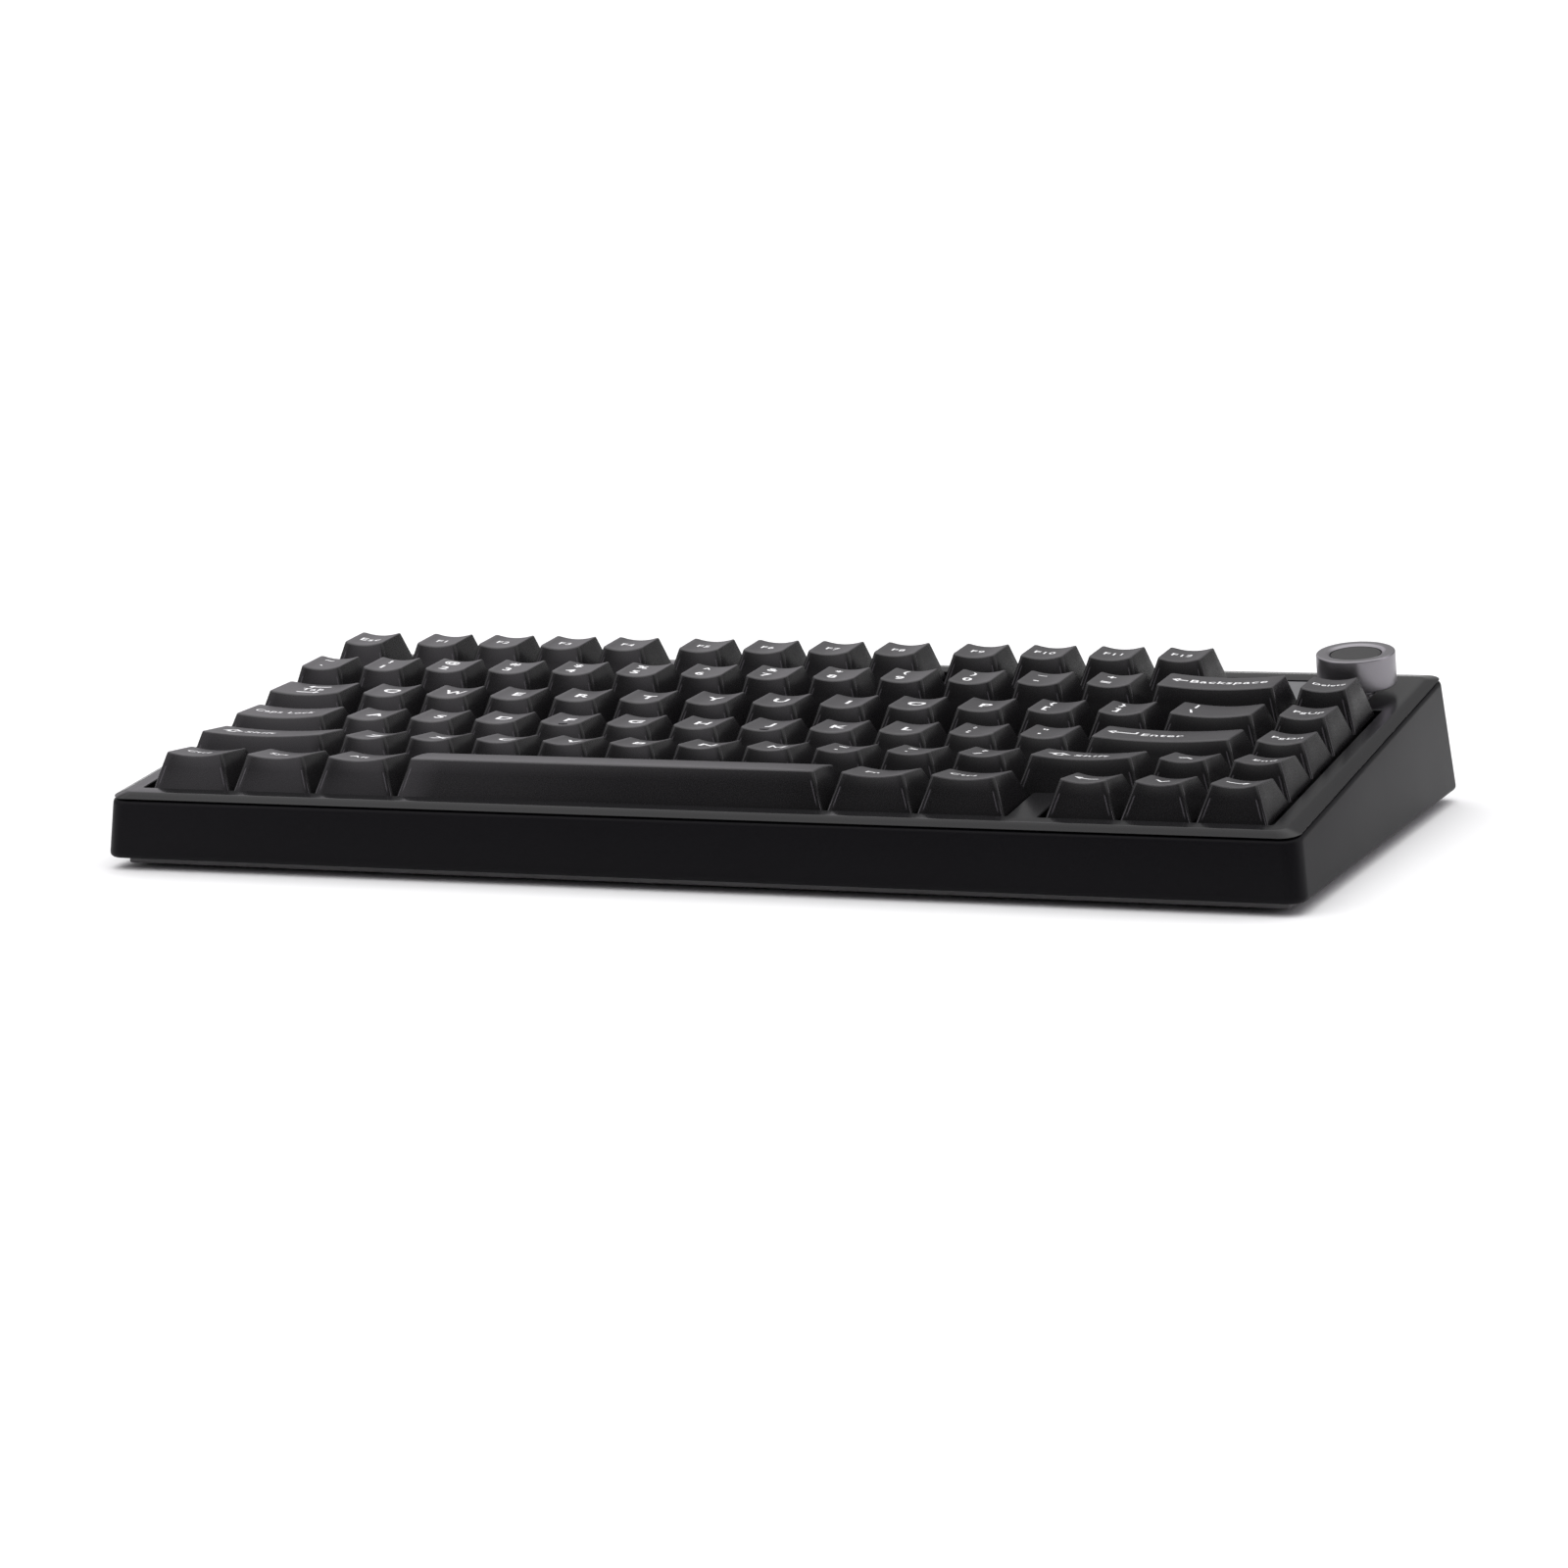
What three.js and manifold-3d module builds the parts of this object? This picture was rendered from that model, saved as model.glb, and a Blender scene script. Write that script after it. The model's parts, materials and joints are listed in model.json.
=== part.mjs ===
// A compact mechanical keyboard with eighty keys and a push-and-turn knob.
// Millimetres, +Z up, +X to the right, +Y away from the typist. The origin is on the table,
// under the middle of the case. Keys, switches, plate and top frame live on a deck that is
// tilted by the typing angle; the tub, its feet and its rear sockets stand level.
import * as THREE from "three";
import { mergeVertices } from "three/addons/utils/BufferGeometryUtils.js";
import Module from "manifold-3d";

const wasm = await Module();
wasm.setup();

// Driving dimensions. Deck coordinates are (u, v, w): u right, v back, w off the deck, with
// the origin at the front left corner of the key field, level with the resting keycap rims.
const UNIT = 19.05;
const FIELD_WIDTH = 16 * UNIT;
const TYPING_ANGLE = THREE.MathUtils.degToRad(6);
const FUNCTION_ROW_GAP = 6.5;
const FUNCTION_ROW_V = 5 * UNIT + FUNCTION_ROW_GAP;
const FUNCTION_GROUP_GAP = 0.19 * UNIT;
const FIELD_DEPTH = FUNCTION_ROW_V + UNIT;
const CLEARANCE = 0.3;

// Case tub, in level coordinates measured from the tub's bottom edge.
const TUB_SIDE = 10.6;
const TUB_FRONT = 8.94;
const TUB_REAR = 135.24;
const TUB_DRAFT = 0.0972;
const TUB_CORNER = 5;
const TUB_EDGE = 1.5;
const TUB_WALL = 2.2;
const PLINTH_HEIGHT = 2;
const PLINTH_INSET = 4.2;
const FOOT_HEIGHT = 1;
const TUB_BASE_Z = FOOT_HEIGHT + PLINTH_HEIGHT;
const FLOOR_TOP_Z = TUB_BASE_Z + 1.4;
const DECK_RISE = 16.85;
const TUB_TALL = 40;
const FIELD_CENTRE_X = FIELD_WIDTH / 2;
const CASE_CENTRE_Y = (TUB_REAR - TUB_FRONT) / 2;

// Deck levels.
const FRAME_TOP = 1;
const FRAME_EDGE = -0.5;
const SEAM = 0.7;
const FRAME_RIB_BOTTOM = -4.2;
const PLATE_TOP = -6.3;
const PLATE_THICKNESS = 1.5;
const SHELF_TOP = PLATE_TOP - PLATE_THICKNESS - CLEARANCE;
const SHELF_THICKNESS = 2.1;
const HOUSING_BOTTOM = -11.3;
const BOARD_TOP = HOUSING_BOTTOM - CLEARANCE;
const BOARD_THICKNESS = 1.6;
const OPENING_MARGIN = 1.3;

// Keycaps and switches.
const CAP_GAP = 0.89;
const CAP_SIDE_SLOPE = 3.35;
const CAP_WALL = 1.5;
const CAP_CROWN = 1.7;
const STEM_SIZE = 5.2;
const STEM_BOTTOM = -2;
const WELL_SIZE = 6;
const WELL_BOTTOM = -6.9;
const HOLE_SIZE = 14;
const HOUSING_SIZE = 13.4;
const FLANGE_SIZE = 15.4;
const HOUSING_TOP = 0;
const HOUSING_TAPER = 3.3;
const KEY_TAB = 1;

// Knob and rotary encoder.
const KNOB_U = 15.5 * UNIT;
const KNOB_V = FUNCTION_ROW_V + UNIT / 2;
const KNOB_RADIUS = 10.2;
const KNOB_BOTTOM = 3.5;
const KNOB_TOP = 11.8;
const INLAY_RADIUS = 6.5;
const INLAY_RECESS = 0.5;
const SHAFT_RADIUS = 3;
const BUSHING_RADIUS = 4.3;

const SHAFT_TOP = KNOB_TOP - INLAY_RECESS - 1.4;
const SHAFT_BOTTOM = -6.4;
const INLAY_THICKNESS = 0.6;
const INLAY_FLOOR = KNOB_TOP - INLAY_RECESS - 0.9;
const ENCODER_SIZE = 12;
const ENCODER_TOP = -5;

// Top frame: how far its flat top and the rib under it reach out from the key field, the
// block beside the arrow keys and the inset panel beside the knob.
const FRAME_FLAT = 5.2;
const FRAME_FLAT_REAR = FIELD_DEPTH + 5.7;
const FRAME_RIB_SIDE = 4.9;
const FRAME_RIB_FRONT = 4.4;
const FRAME_RIB_REAR = FIELD_DEPTH + 8.7;
const BLOCKER_U = 12.5 * UNIT;
const BLOCKER_MARGIN = 0.8;
const PANEL = { u0: 264, u1: 282, v0: FUNCTION_ROW_V + 0.8, v1: FUNCTION_ROW_V + UNIT };
const PANEL_DEPTH = 1.3;
const PANEL_THICKNESS = 0.8;

// Parts on the deck that only show from inside.
const PLATE_MARGIN = 3.3;
const PAD_BOTTOM = -10;
const PAD_THICKNESS = 0.4;
const GASKET_OUTER = 3.2;
const GASKET_INNER = 1.4;
const FOAM_BOTTOM = -15;
const FOAM_BACK = 100;

// Rear sockets and sliders, in level coordinates.
const REAR_SOCKET_Z = TUB_BASE_Z + 11;
const REAR_WALL_Y = TUB_REAR - CASE_CENTRE_Y - TUB_DRAFT * (REAR_SOCKET_Z - TUB_BASE_Z);
const USB = { x: -112.4, width: 8.94, height: 3.26, depth: 7.35, wall: 0.35 };
const USB_BOARD = { halfWidth: 12, inward: 6, bottom: 3.6, top: 2 };
const MODE_SLIDER = { x: -92.4, travel: 3 };
const SYSTEM_SLIDER = { x: -72.4, travel: 2 };
const SLIDER_SIZE = 4;
const SLIDER_HEIGHT = 2.4;
const SOCKET_MARGIN = 0.8;
const BATTERY_BOX = [-55, 55, 0, 38, FLOOR_TOP_Z + 0.4, FLOOR_TOP_Z + 6.4];

// Tilt feet with their pockets, and the rubber feet.
const TILT_FOOT = { x: 103, width: 40, length: 15, pivotY: 44, pivotZ: 3.3, barrel: 1.9, thick: 3.2 };
const TILT_PIN_RADIUS = 1;
const TILT_PIN_LENGTH = 1.2;
const POCKET_CEILING = 6;
const POCKET_SKIN = 1.6;
const REST_PADS = {
  rubber_foot_front_left: [-132, -72, -57, -49],
  rubber_foot_front_right: [72, 132, -57, -49],
  rubber_foot_rear_left: [-72, -36, 56, 64],
  rubber_foot_rear_right: [36, 72, 56, 64],
};
const PAD_RECESS = 0.9;

// Each row: its front edge, the cap's height at the front and back of its top,
// and how far the top is set in from the cap's front and back.
const ROWS = {
  bottom: { v: 0, front: 9.3, back: 6.85, insetFront: 3.85, insetBack: 1.2 },
  z: { v: UNIT, front: 9.3, back: 6.85, insetFront: 3.75, insetBack: 1.2 },
  a: { v: 2 * UNIT, front: 8.6, back: 7.3, insetFront: 3.75, insetBack: 1.2 },
  q: { v: 3 * UNIT, front: 9.4, back: 8.5, insetFront: 3.85, insetBack: 1.6 },
  number: { v: 4 * UNIT, front: 11, back: 10.5, insetFront: 3.9, insetBack: 1.8 },
  function: { v: FUNCTION_ROW_V, front: 10.6, back: 10.2, insetFront: 4.4, insetBack: 1.8 },
};

// Keys that stand alone: name, row, left edge and width in units.
const SINGLE_KEYS = [
  ["escape", "function", 0, 1],
  ["backspace", "number", 13, 2],
  ["delete", "number", 15, 1],
  ["tab", "q", 0, 1.5],
  ["backslash", "q", 13.5, 1.5],
  ["page_up", "q", 15, 1],
  ["caps_lock", "a", 0, 1.75],
  ["enter", "a", 12.75, 2.25],
  ["page_down", "a", 15, 1],
  ["left_shift", "z", 0, 2.25],
  ["right_shift", "z", 12.25, 1.75],
  ["arrow_up", "z", 14, 1],
  ["end", "z", 15, 1],
  ["left_ctrl", "bottom", 0, 1.25],
  ["left_win", "bottom", 1.25, 1.25],
  ["left_alt", "bottom", 2.5, 1.25],
  ["space", "bottom", 3.75, 6.25],
  ["fn", "bottom", 10, 1.25],
  ["right_ctrl", "bottom", 11.25, 1.25],
  ["arrow_left", "bottom", 13, 1],
  ["arrow_down", "bottom", 14, 1],
  ["arrow_right", "bottom", 15, 1],
];

// Letter columns run from the number row down. Each row starts this many units from the left,
// and the last two columns reach fewer rows.
const LETTER_COLUMNS = ["1", "2", "3", "4", "5", "6", "7", "8", "9", "0", "minus", "equals"];
const ROW_STARTS = { number: 1, q: 1.5, a: 1.75, z: 2.25 };
const SHORT_COLUMNS = { minus: 3, equals: 2 };
const FUNCTION_GROUPS = 3;
const GROUP_SIZE = 4;

function solidOf(geometry) {
  const bare = geometry.index ? geometry.toNonIndexed() : geometry.clone();
  bare.deleteAttribute("normal");
  bare.deleteAttribute("uv");
  const merged = mergeVertices(bare, 1e-4);
  const mesh = new wasm.Mesh({
    numProp: 3,
    vertProperties: merged.attributes.position.array,
    triVerts: new Uint32Array(merged.index.array),
  });
  return new wasm.Manifold(mesh);
}

function geometryOf(solid) {
  const mesh = solid.getMesh();
  const geometry = new THREE.BufferGeometry();
  geometry.setAttribute("position", new THREE.BufferAttribute(mesh.vertProperties, 3));
  geometry.setIndex(new THREE.BufferAttribute(mesh.triVerts, 1));
  const flat = geometry.toNonIndexed();
  flat.computeVertexNormals();
  return flat;
}

function joined(solids) {
  return solids.reduce((whole, piece) => whole.add(piece));
}

// A box between two corners.
function box(x0, x1, y0, y1, z0, z1) {
  const geometry = new THREE.BoxGeometry(x1 - x0, y1 - y0, z1 - z0);
  geometry.translate((x0 + x1) / 2, (y0 + y1) / 2, (z0 + z1) / 2);
  return solidOf(geometry);
}

// A box that stands on a centre point.
function post(x, y, size, z0, z1) {
  return box(x - size / 2, x + size / 2, y - size / 2, y + size / 2, z0, z1);
}

function cylinder(x, y, radius, z0, z1, sides = 24) {
  const geometry = new THREE.CylinderGeometry(radius, radius, z1 - z0, sides);
  geometry.rotateX(Math.PI / 2);
  geometry.translate(x, y, (z0 + z1) / 2);
  return solidOf(geometry);
}

function roundedRectangle(x0, x1, y0, y1, radius) {
  const shape = new THREE.Shape();
  shape.moveTo(x0 + radius, y0);
  shape.lineTo(x1 - radius, y0);
  shape.absarc(x1 - radius, y0 + radius, radius, -Math.PI / 2, 0, false);
  shape.lineTo(x1, y1 - radius);
  shape.absarc(x1 - radius, y1 - radius, radius, 0, Math.PI / 2, false);
  shape.lineTo(x0 + radius, y1);
  shape.absarc(x0 + radius, y1 - radius, radius, Math.PI / 2, Math.PI, false);
  shape.lineTo(x0, y0 + radius);
  shape.absarc(x0 + radius, y0 + radius, radius, Math.PI, 1.5 * Math.PI, false);
  return shape;
}

// A straight prism with an optional rounded edge at both ends.
function prism(shape, z0, z1, edge = 0, curveSegments = 3) {
  const geometry = new THREE.ExtrudeGeometry(shape, {
    depth: z1 - z0 - 2 * edge,
    bevelEnabled: edge > 0,
    bevelThickness: edge,
    bevelSize: edge,
    bevelOffset: -edge,
    bevelSegments: 2,
    curveSegments,
  });
  geometry.translate(0, 0, z0 + edge);
  return geometry;
}

// Moves every corner of a geometry by a rule.
function reshaped(geometry, rule) {
  const position = geometry.attributes.position;
  const point = new THREE.Vector3();
  for (let i = 0; i < position.count; i += 1) {
    point.fromBufferAttribute(position, i);
    rule(point);
    position.setXYZ(i, point.x, point.y, point.z);
  }
  return geometry;
}

// Carries deck coordinates into level ones.
const deckMatrix = new THREE.Matrix4()
  .makeRotationX(TYPING_ANGLE)
  .setPosition(-FIELD_CENTRE_X, -CASE_CENTRE_Y, TUB_BASE_Z + DECK_RISE);

function toLevel(solid) {
  return solidOf(geometryOf(solid).applyMatrix4(deckMatrix));
}

// The case's outside: four walls that lean in as they rise, without a top.
function caseOutside(inset, z0, z1, edge = 0) {
  const halfWidth = FIELD_CENTRE_X + TUB_SIDE - inset;
  const halfDepth = (TUB_REAR + TUB_FRONT) / 2 - inset;
  const corner = Math.max(TUB_CORNER - inset, 1);
  const outline = roundedRectangle(-halfWidth, halfWidth, -halfDepth, halfDepth, corner);
  return solidOf(
    reshaped(prism(outline, z0, z1, edge), (point) => {
      const lean = TUB_DRAFT * (point.z - TUB_BASE_Z);
      point.x -= Math.sign(point.x) * lean;
      point.y -= Math.sign(point.y) * lean;
    }),
  );
}

// Everything above or below one deck level, as a level solid.
function deckSlab(w0, w1) {
  return toLevel(box(-60, FIELD_WIDTH + 60, -60, 220, w0, w1));
}

// The front, rear and side lines where the leaning walls meet one deck level.
function wallAt(w) {
  const sin = Math.sin(TYPING_ANGLE);
  const cos = Math.cos(TYPING_ANGLE);
  const frontFoot = -TUB_FRONT + TUB_DRAFT * DECK_RISE;
  const rearFoot = TUB_REAR - TUB_DRAFT * DECK_RISE;
  const front = (frontFoot + w * (sin + TUB_DRAFT * cos)) / (cos - TUB_DRAFT * sin);
  const rear = (rearFoot + w * (sin - TUB_DRAFT * cos)) / (cos + TUB_DRAFT * sin);
  const side = (v) => TUB_SIDE - TUB_DRAFT * (DECK_RISE + v * sin + w * cos);
  return { front, rear, side };
}

function keyFieldOpenings() {
  const lastFunctionKey = FUNCTION_GROUP_GAP * 3 + 13 * UNIT;
  const main = box(
    -OPENING_MARGIN,
    FIELD_WIDTH + OPENING_MARGIN,
    -OPENING_MARGIN,
    5 * UNIT + 0.4,
    -9,
    9,
  );
  const functions = box(
    -OPENING_MARGIN,
    lastFunctionKey + OPENING_MARGIN,
    FUNCTION_ROW_V - 0.8,
    FIELD_DEPTH + OPENING_MARGIN,
    -9,
    9,
  );
  const blocker = box(
    BLOCKER_U + BLOCKER_MARGIN,
    BLOCKER_U + UNIT / 2 - BLOCKER_MARGIN,
    -9,
    UNIT - BLOCKER_MARGIN,
    -19,
    19,
  );
  return { main: main.subtract(blocker), functions };
}

function topCase() {
  const edge = wallAt(FRAME_EDGE);
  const u0 = -edge.side(edge.front);
  const rearNarrowing = edge.side(edge.front) - edge.side(edge.rear);
  const centre = FIELD_CENTRE_X;
  const outline = roundedRectangle(u0, 2 * centre - u0, edge.front, edge.rear, TUB_CORNER);
  const flatFront = -FRAME_FLAT;
  const chamfered = reshaped(prism(outline, FRAME_EDGE, FRAME_TOP), (point) => {
    const back = (point.y - edge.front) / (edge.rear - edge.front);
    const halfWidth = centre - u0 - rearNarrowing * back;
    const raised = point.z > 0;
    const newHalf = raised ? centre + FRAME_FLAT : halfWidth;
    point.x = centre + ((point.x - centre) * newHalf) / (centre - u0);
    if (raised) point.y = flatFront + back * (FRAME_FLAT_REAR - flatFront);
  });
  const rib = box(
    -FRAME_RIB_SIDE,
    FIELD_WIDTH + FRAME_RIB_SIDE,
    -FRAME_RIB_FRONT,
    FRAME_RIB_REAR,
    FRAME_RIB_BOTTOM,
    FRAME_EDGE + 0.2,
  );
  const { main, functions } = keyFieldOpenings();
  const panelRecess = box(PANEL.u0, PANEL.u1, PANEL.v0, PANEL.v1, FRAME_TOP - PANEL_DEPTH, 9);
  const shaftHole = cylinder(KNOB_U, KNOB_V, BUSHING_RADIUS + 0.5, -9, 9);
  return solidOf(chamfered)
    .add(rib)
    .subtract(main)
    .subtract(functions)
    .subtract(panelRecess)
    .subtract(shaftHole);
}

function indicatorPanel() {
  const bottom = FRAME_TOP - PANEL_DEPTH + CLEARANCE;
  const slot = box(PANEL.u0 + 3, PANEL.u0 + 4.2, PANEL.v0 + 6, PANEL.v1 - 6, bottom + 0.5, 9);
  return box(
    PANEL.u0 + CLEARANCE,
    PANEL.u1 - CLEARANCE,
    PANEL.v0 + CLEARANCE,
    PANEL.v1 - CLEARANCE,
    bottom,
    bottom + PANEL_THICKNESS,
  ).subtract(slot);
}

function along(x, y, z, radius, length, sides = 16) {
  const geometry = new THREE.CylinderGeometry(radius, radius, length, sides);
  geometry.rotateZ(Math.PI / 2);
  geometry.translate(x, y, z);
  return solidOf(geometry);
}

function tiltPocket(side) {
  const half = TILT_FOOT.width / 2 + 0.6;
  const x = side * TILT_FOOT.x;
  const front = TILT_FOOT.pivotY - TILT_FOOT.barrel - 0.7;
  const back = TILT_FOOT.pivotY + TILT_FOOT.length + 0.6;
  return { x0: x - half, x1: x + half, y0: front, y1: back };
}

function bottomCase() {
  const lip = FRAME_EDGE - SEAM;
  const above = deckSlab(lip, lip + 80);
  const outside = caseOutside(0, TUB_BASE_Z, TUB_BASE_Z + TUB_TALL, TUB_EDGE);
  const halfWidth = FIELD_CENTRE_X + TUB_SIDE - PLINTH_INSET - 0.8;
  const plinthFront = -TUB_FRONT + PLINTH_INSET - CASE_CENTRE_Y - 0.6;
  const plinthRear = TUB_REAR - PLINTH_INSET - CASE_CENTRE_Y;
  const plinth = solidOf(
    prism(
      roundedRectangle(-halfWidth, halfWidth, plinthFront, plinthRear, TUB_CORNER),
      FOOT_HEIGHT,
      TUB_BASE_Z + 2.5,
      0.4,
    ),
  );
  const shelfBottom = SHELF_TOP - SHELF_THICKNESS;
  const upper = caseOutside(TUB_WALL, TUB_BASE_Z, TUB_BASE_Z + TUB_TALL).intersect(
    deckSlab(SHELF_TOP, SHELF_TOP + 80),
  );
  const lower = caseOutside(TUB_WALL, FLOOR_TOP_Z, TUB_BASE_Z + TUB_TALL).subtract(
    deckSlab(shelfBottom, shelfBottom + 80),
  );
  const middle = toLevel(
    box(-1.5, FIELD_WIDTH + 1.5, -1.5, FIELD_DEPTH + 1.5, shelfBottom - 1, SHELF_TOP + 1),
  );
  let tub = outside.add(plinth).subtract(above).subtract(upper).subtract(middle).subtract(lower);
  for (const side of [-1, 1]) {
    const { x0, x1, y0, y1 } = tiltPocket(side);
    const skin = POCKET_SKIN;
    tub = tub
      .add(box(x0 - skin, x1 + skin, y0 - skin, y1 + skin, TUB_BASE_Z - 1, POCKET_CEILING + skin))
      .subtract(box(x0, x1, y0, y1, 0, POCKET_CEILING))
      .subtract(
        along(
          side * TILT_FOOT.x,
          TILT_FOOT.pivotY,
          TILT_FOOT.pivotZ,
          TILT_PIN_RADIUS + 0.3,
          x1 - x0 + 2 * TILT_PIN_LENGTH,
          12,
        ),
      );
  }
  for (const [x0, x1, y0, y1] of Object.values(REST_PADS)) {
    tub = tub.subtract(box(x0, x1, y0, y1, 0, FOOT_HEIGHT + PAD_RECESS));
  }
  const wallBand = [REAR_WALL_Y - 6, REAR_WALL_Y + 6];
  const cutThrough = (x, width, height) =>
    box(
      x - width / 2,
      x + width / 2,
      ...wallBand,
      REAR_SOCKET_Z - height / 2,
      REAR_SOCKET_Z + height / 2,
    );
  const sliderSlot = ({ x, travel }) =>
    cutThrough(x, SLIDER_SIZE + 2 * travel + SOCKET_MARGIN, SLIDER_HEIGHT + SOCKET_MARGIN);
  return tub
    .subtract(cutThrough(USB.x, USB.width + SOCKET_MARGIN, USB.height + SOCKET_MARGIN))
    .subtract(sliderSlot(MODE_SLIDER))
    .subtract(sliderSlot(SYSTEM_SLIDER));
}

function restPad([x0, x1, y0, y1]) {
  const outline = roundedRectangle(
    x0 + CLEARANCE,
    x1 - CLEARANCE,
    y0 + CLEARANCE,
    y1 - CLEARANCE,
    2.5,
  );
  return solidOf(prism(outline, 0, FOOT_HEIGHT + PAD_RECESS - CLEARANCE, 0, 2));
}

function tiltFoot(side) {
  const { width, length, pivotY, pivotZ, barrel, thick } = TILT_FOOT;
  const x = side * TILT_FOOT.x;
  const bottom = pivotZ - barrel;
  const leaf = box(x - width / 2, x + width / 2, pivotY, pivotY + length, bottom, bottom + thick);
  const grip = box(x - 6, x + 6, pivotY + length - 3, pivotY + length + 1, 0, pivotZ - 0.4);
  return joined([
    along(x, pivotY, pivotZ, barrel, width),
    along(x, pivotY, pivotZ, TILT_PIN_RADIUS, width + 2 * TILT_PIN_LENGTH, 12),
    leaf.subtract(grip),
  ]);
}

function usbPort() {
  const { x, width, height, depth, wall } = USB;
  const y1 = REAR_WALL_Y - 0.5;
  const y0 = y1 - depth;
  const stadium = (inset, from, to) => {
    const outline = roundedRectangle(
      x - width / 2 + inset,
      x + width / 2 - inset,
      -height / 2 + inset,
      height / 2 - inset,
      height / 2 - inset - 0.01,
    );
    const geometry = prism(outline, 0, to - from);
    geometry.rotateX(Math.PI / 2);
    geometry.translate(0, to, REAR_SOCKET_Z);
    return solidOf(geometry);
  };
  const z = REAR_SOCKET_Z;
  const tongue = box(x - 3.3, x + 3.3, y0 + 0.5, y1 - 1.2, z - wall, z + wall);
  return stadium(0, y0, y1).subtract(stadium(wall, y0 + 1.2, y1 + 1)).add(tongue);
}

function slider({ x }) {
  const half = SLIDER_SIZE / 2;
  const stem = box(
    x - half,
    x + half,
    REAR_WALL_Y - 4,
    REAR_WALL_Y + 0.6,
    REAR_SOCKET_Z - SLIDER_HEIGHT / 2,
    REAR_SOCKET_Z + SLIDER_HEIGHT / 2,
  );
  const grooves = [-0.9, 0.9].map((offset) =>
    box(
      x + offset - 0.2,
      x + offset + 0.2,
      REAR_WALL_Y + 0.2,
      REAR_WALL_Y + 2,
      REAR_SOCKET_Z - 3,
      REAR_SOCKET_Z + 3,
    ),
  );
  const carrier = box(
    x - half - 1,
    x + half + 1,
    REAR_WALL_Y - 4.6,
    REAR_WALL_Y - 3,
    REAR_SOCKET_Z - 2.2,
    REAR_SOCKET_Z + 2.2,
  );
  return grooves.reduce((whole, groove) => whole.subtract(groove), stem).add(carrier);
}

// A key has its row, its left edge and width in units, and an extra shift in millimetres for
// the gaps between the groups of function keys.
function keyAt(row, left, width = 1, shift = 0) {
  return { row, left, width, shift };
}

// The first column also holds the key left of the digits.
function letterColumn(name, index) {
  const rows = Object.entries(ROW_STARTS).slice(0, SHORT_COLUMNS[name]);
  const keys = rows.map(([row, start]) => keyAt(row, start + index));
  return index === 0 ? [keyAt("number", 0), ...keys] : keys;
}

function functionGroup(index) {
  const first = 1 + GROUP_SIZE * index;
  const numbers = Array.from({ length: GROUP_SIZE }, (_, i) => first + i);
  const shift = (index + 1) * FUNCTION_GROUP_GAP;
  return {
    name: `functions_${first}_to_${first + GROUP_SIZE - 1}`,
    keys: numbers.map((number) => keyAt("function", number, 1, shift)),
  };
}

// All keys as {name, keys}, one entry for each node.
function keyGroups() {
  return [
    ...SINGLE_KEYS.map(([name, ...place]) => ({ name, keys: [keyAt(...place)] })),
    ...LETTER_COLUMNS.map((name, i) => ({ name: `column_${name}`, keys: letterColumn(name, i) })),
    ...Array.from({ length: FUNCTION_GROUPS }, (_, i) => functionGroup(i)),
  ];
}

function keyEdges({ row, left, width, shift }) {
  const u0 = left * UNIT + shift;
  const v0 = ROWS[row].v;
  return { u0, u1: u0 + width * UNIT, v0, v1: v0 + UNIT };
}

function keyCentre(key) {
  const { u0, u1, v0, v1 } = keyEdges(key);
  return [(u0 + u1) / 2, (v0 + v1) / 2];
}

// A tapered block with a sloping top: the outside of a cap, or the hollow in it.
function taperedBlock({ u0, u1, v0, v1 }, row, inset, drop) {
  const { front, back, insetFront, insetBack } = row;
  const half = CAP_GAP / 2 + inset;
  const geometry = new THREE.BoxGeometry(u1 - u0 - 2 * half, v1 - v0 - 2 * half, 1);
  geometry.translate((u0 + u1) / 2, (v0 + v1) / 2, 0.5);
  const middle = (u0 + u1) / 2;
  reshaped(geometry, (point) => {
    if (point.z < 0.5) {
      point.z = drop > 0 ? -1 : 0;
      return;
    }
    const isFront = point.y < (v0 + v1) / 2;
    point.x -= Math.sign(point.x - middle) * CAP_SIDE_SLOPE;
    point.y += isFront ? insetFront : -insetBack;
    point.z = (isFront ? front : back) - drop;
  });
  return solidOf(geometry);
}

function capSolid(key) {
  const row = ROWS[key.row];
  const edges = keyEdges(key);
  const [u, v] = keyCentre(key);
  const shell = taperedBlock(edges, row, 0, 0).subtract(
    taperedBlock(edges, row, CAP_WALL, CAP_CROWN),
  );
  return shell.add(post(u, v, STEM_SIZE, STEM_BOTTOM, (row.front + row.back - CAP_CROWN) / 2));
}

// A short web at rim level between two caps that are next to each other.
function capTab(first, second) {
  const [ua, va] = keyCentre(first);
  const [ub, vb] = keyCentre(second);
  const reach = CAP_GAP / 2 + 0.5;
  if (Math.abs(va - vb) < 1) {
    const u = Math.max(keyEdges(first).u0, keyEdges(second).u0);
    return box(u - reach, u + reach, va - 3, va - 3 + KEY_TAB, 0, KEY_TAB);
  }
  const v = Math.max(keyEdges(first).v0, keyEdges(second).v0);
  const u = (ua + ub) / 2;
  return box(u - KEY_TAB / 2, u + KEY_TAB / 2, v - reach, v + reach, 0, KEY_TAB);
}

function keyGroupSolid(keys) {
  const pieces = keys.map(capSolid);
  for (let i = 1; i < keys.length; i += 1) pieces.push(capTab(keys[i - 1], keys[i]));
  return joined(pieces);
}

function switchPlate(keys) {
  const plate = box(
    -PLATE_MARGIN,
    FIELD_WIDTH + PLATE_MARGIN,
    -PLATE_MARGIN,
    FIELD_DEPTH + PLATE_MARGIN,
    PLATE_TOP - PLATE_THICKNESS,
    PLATE_TOP,
  );
  const holes = keys.map((key) => post(...keyCentre(key), HOLE_SIZE, -9, 0));
  holes.push(post(KNOB_U, KNOB_V, HOLE_SIZE, -9, 0));
  return plate.subtract(joined(holes));
}

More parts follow.
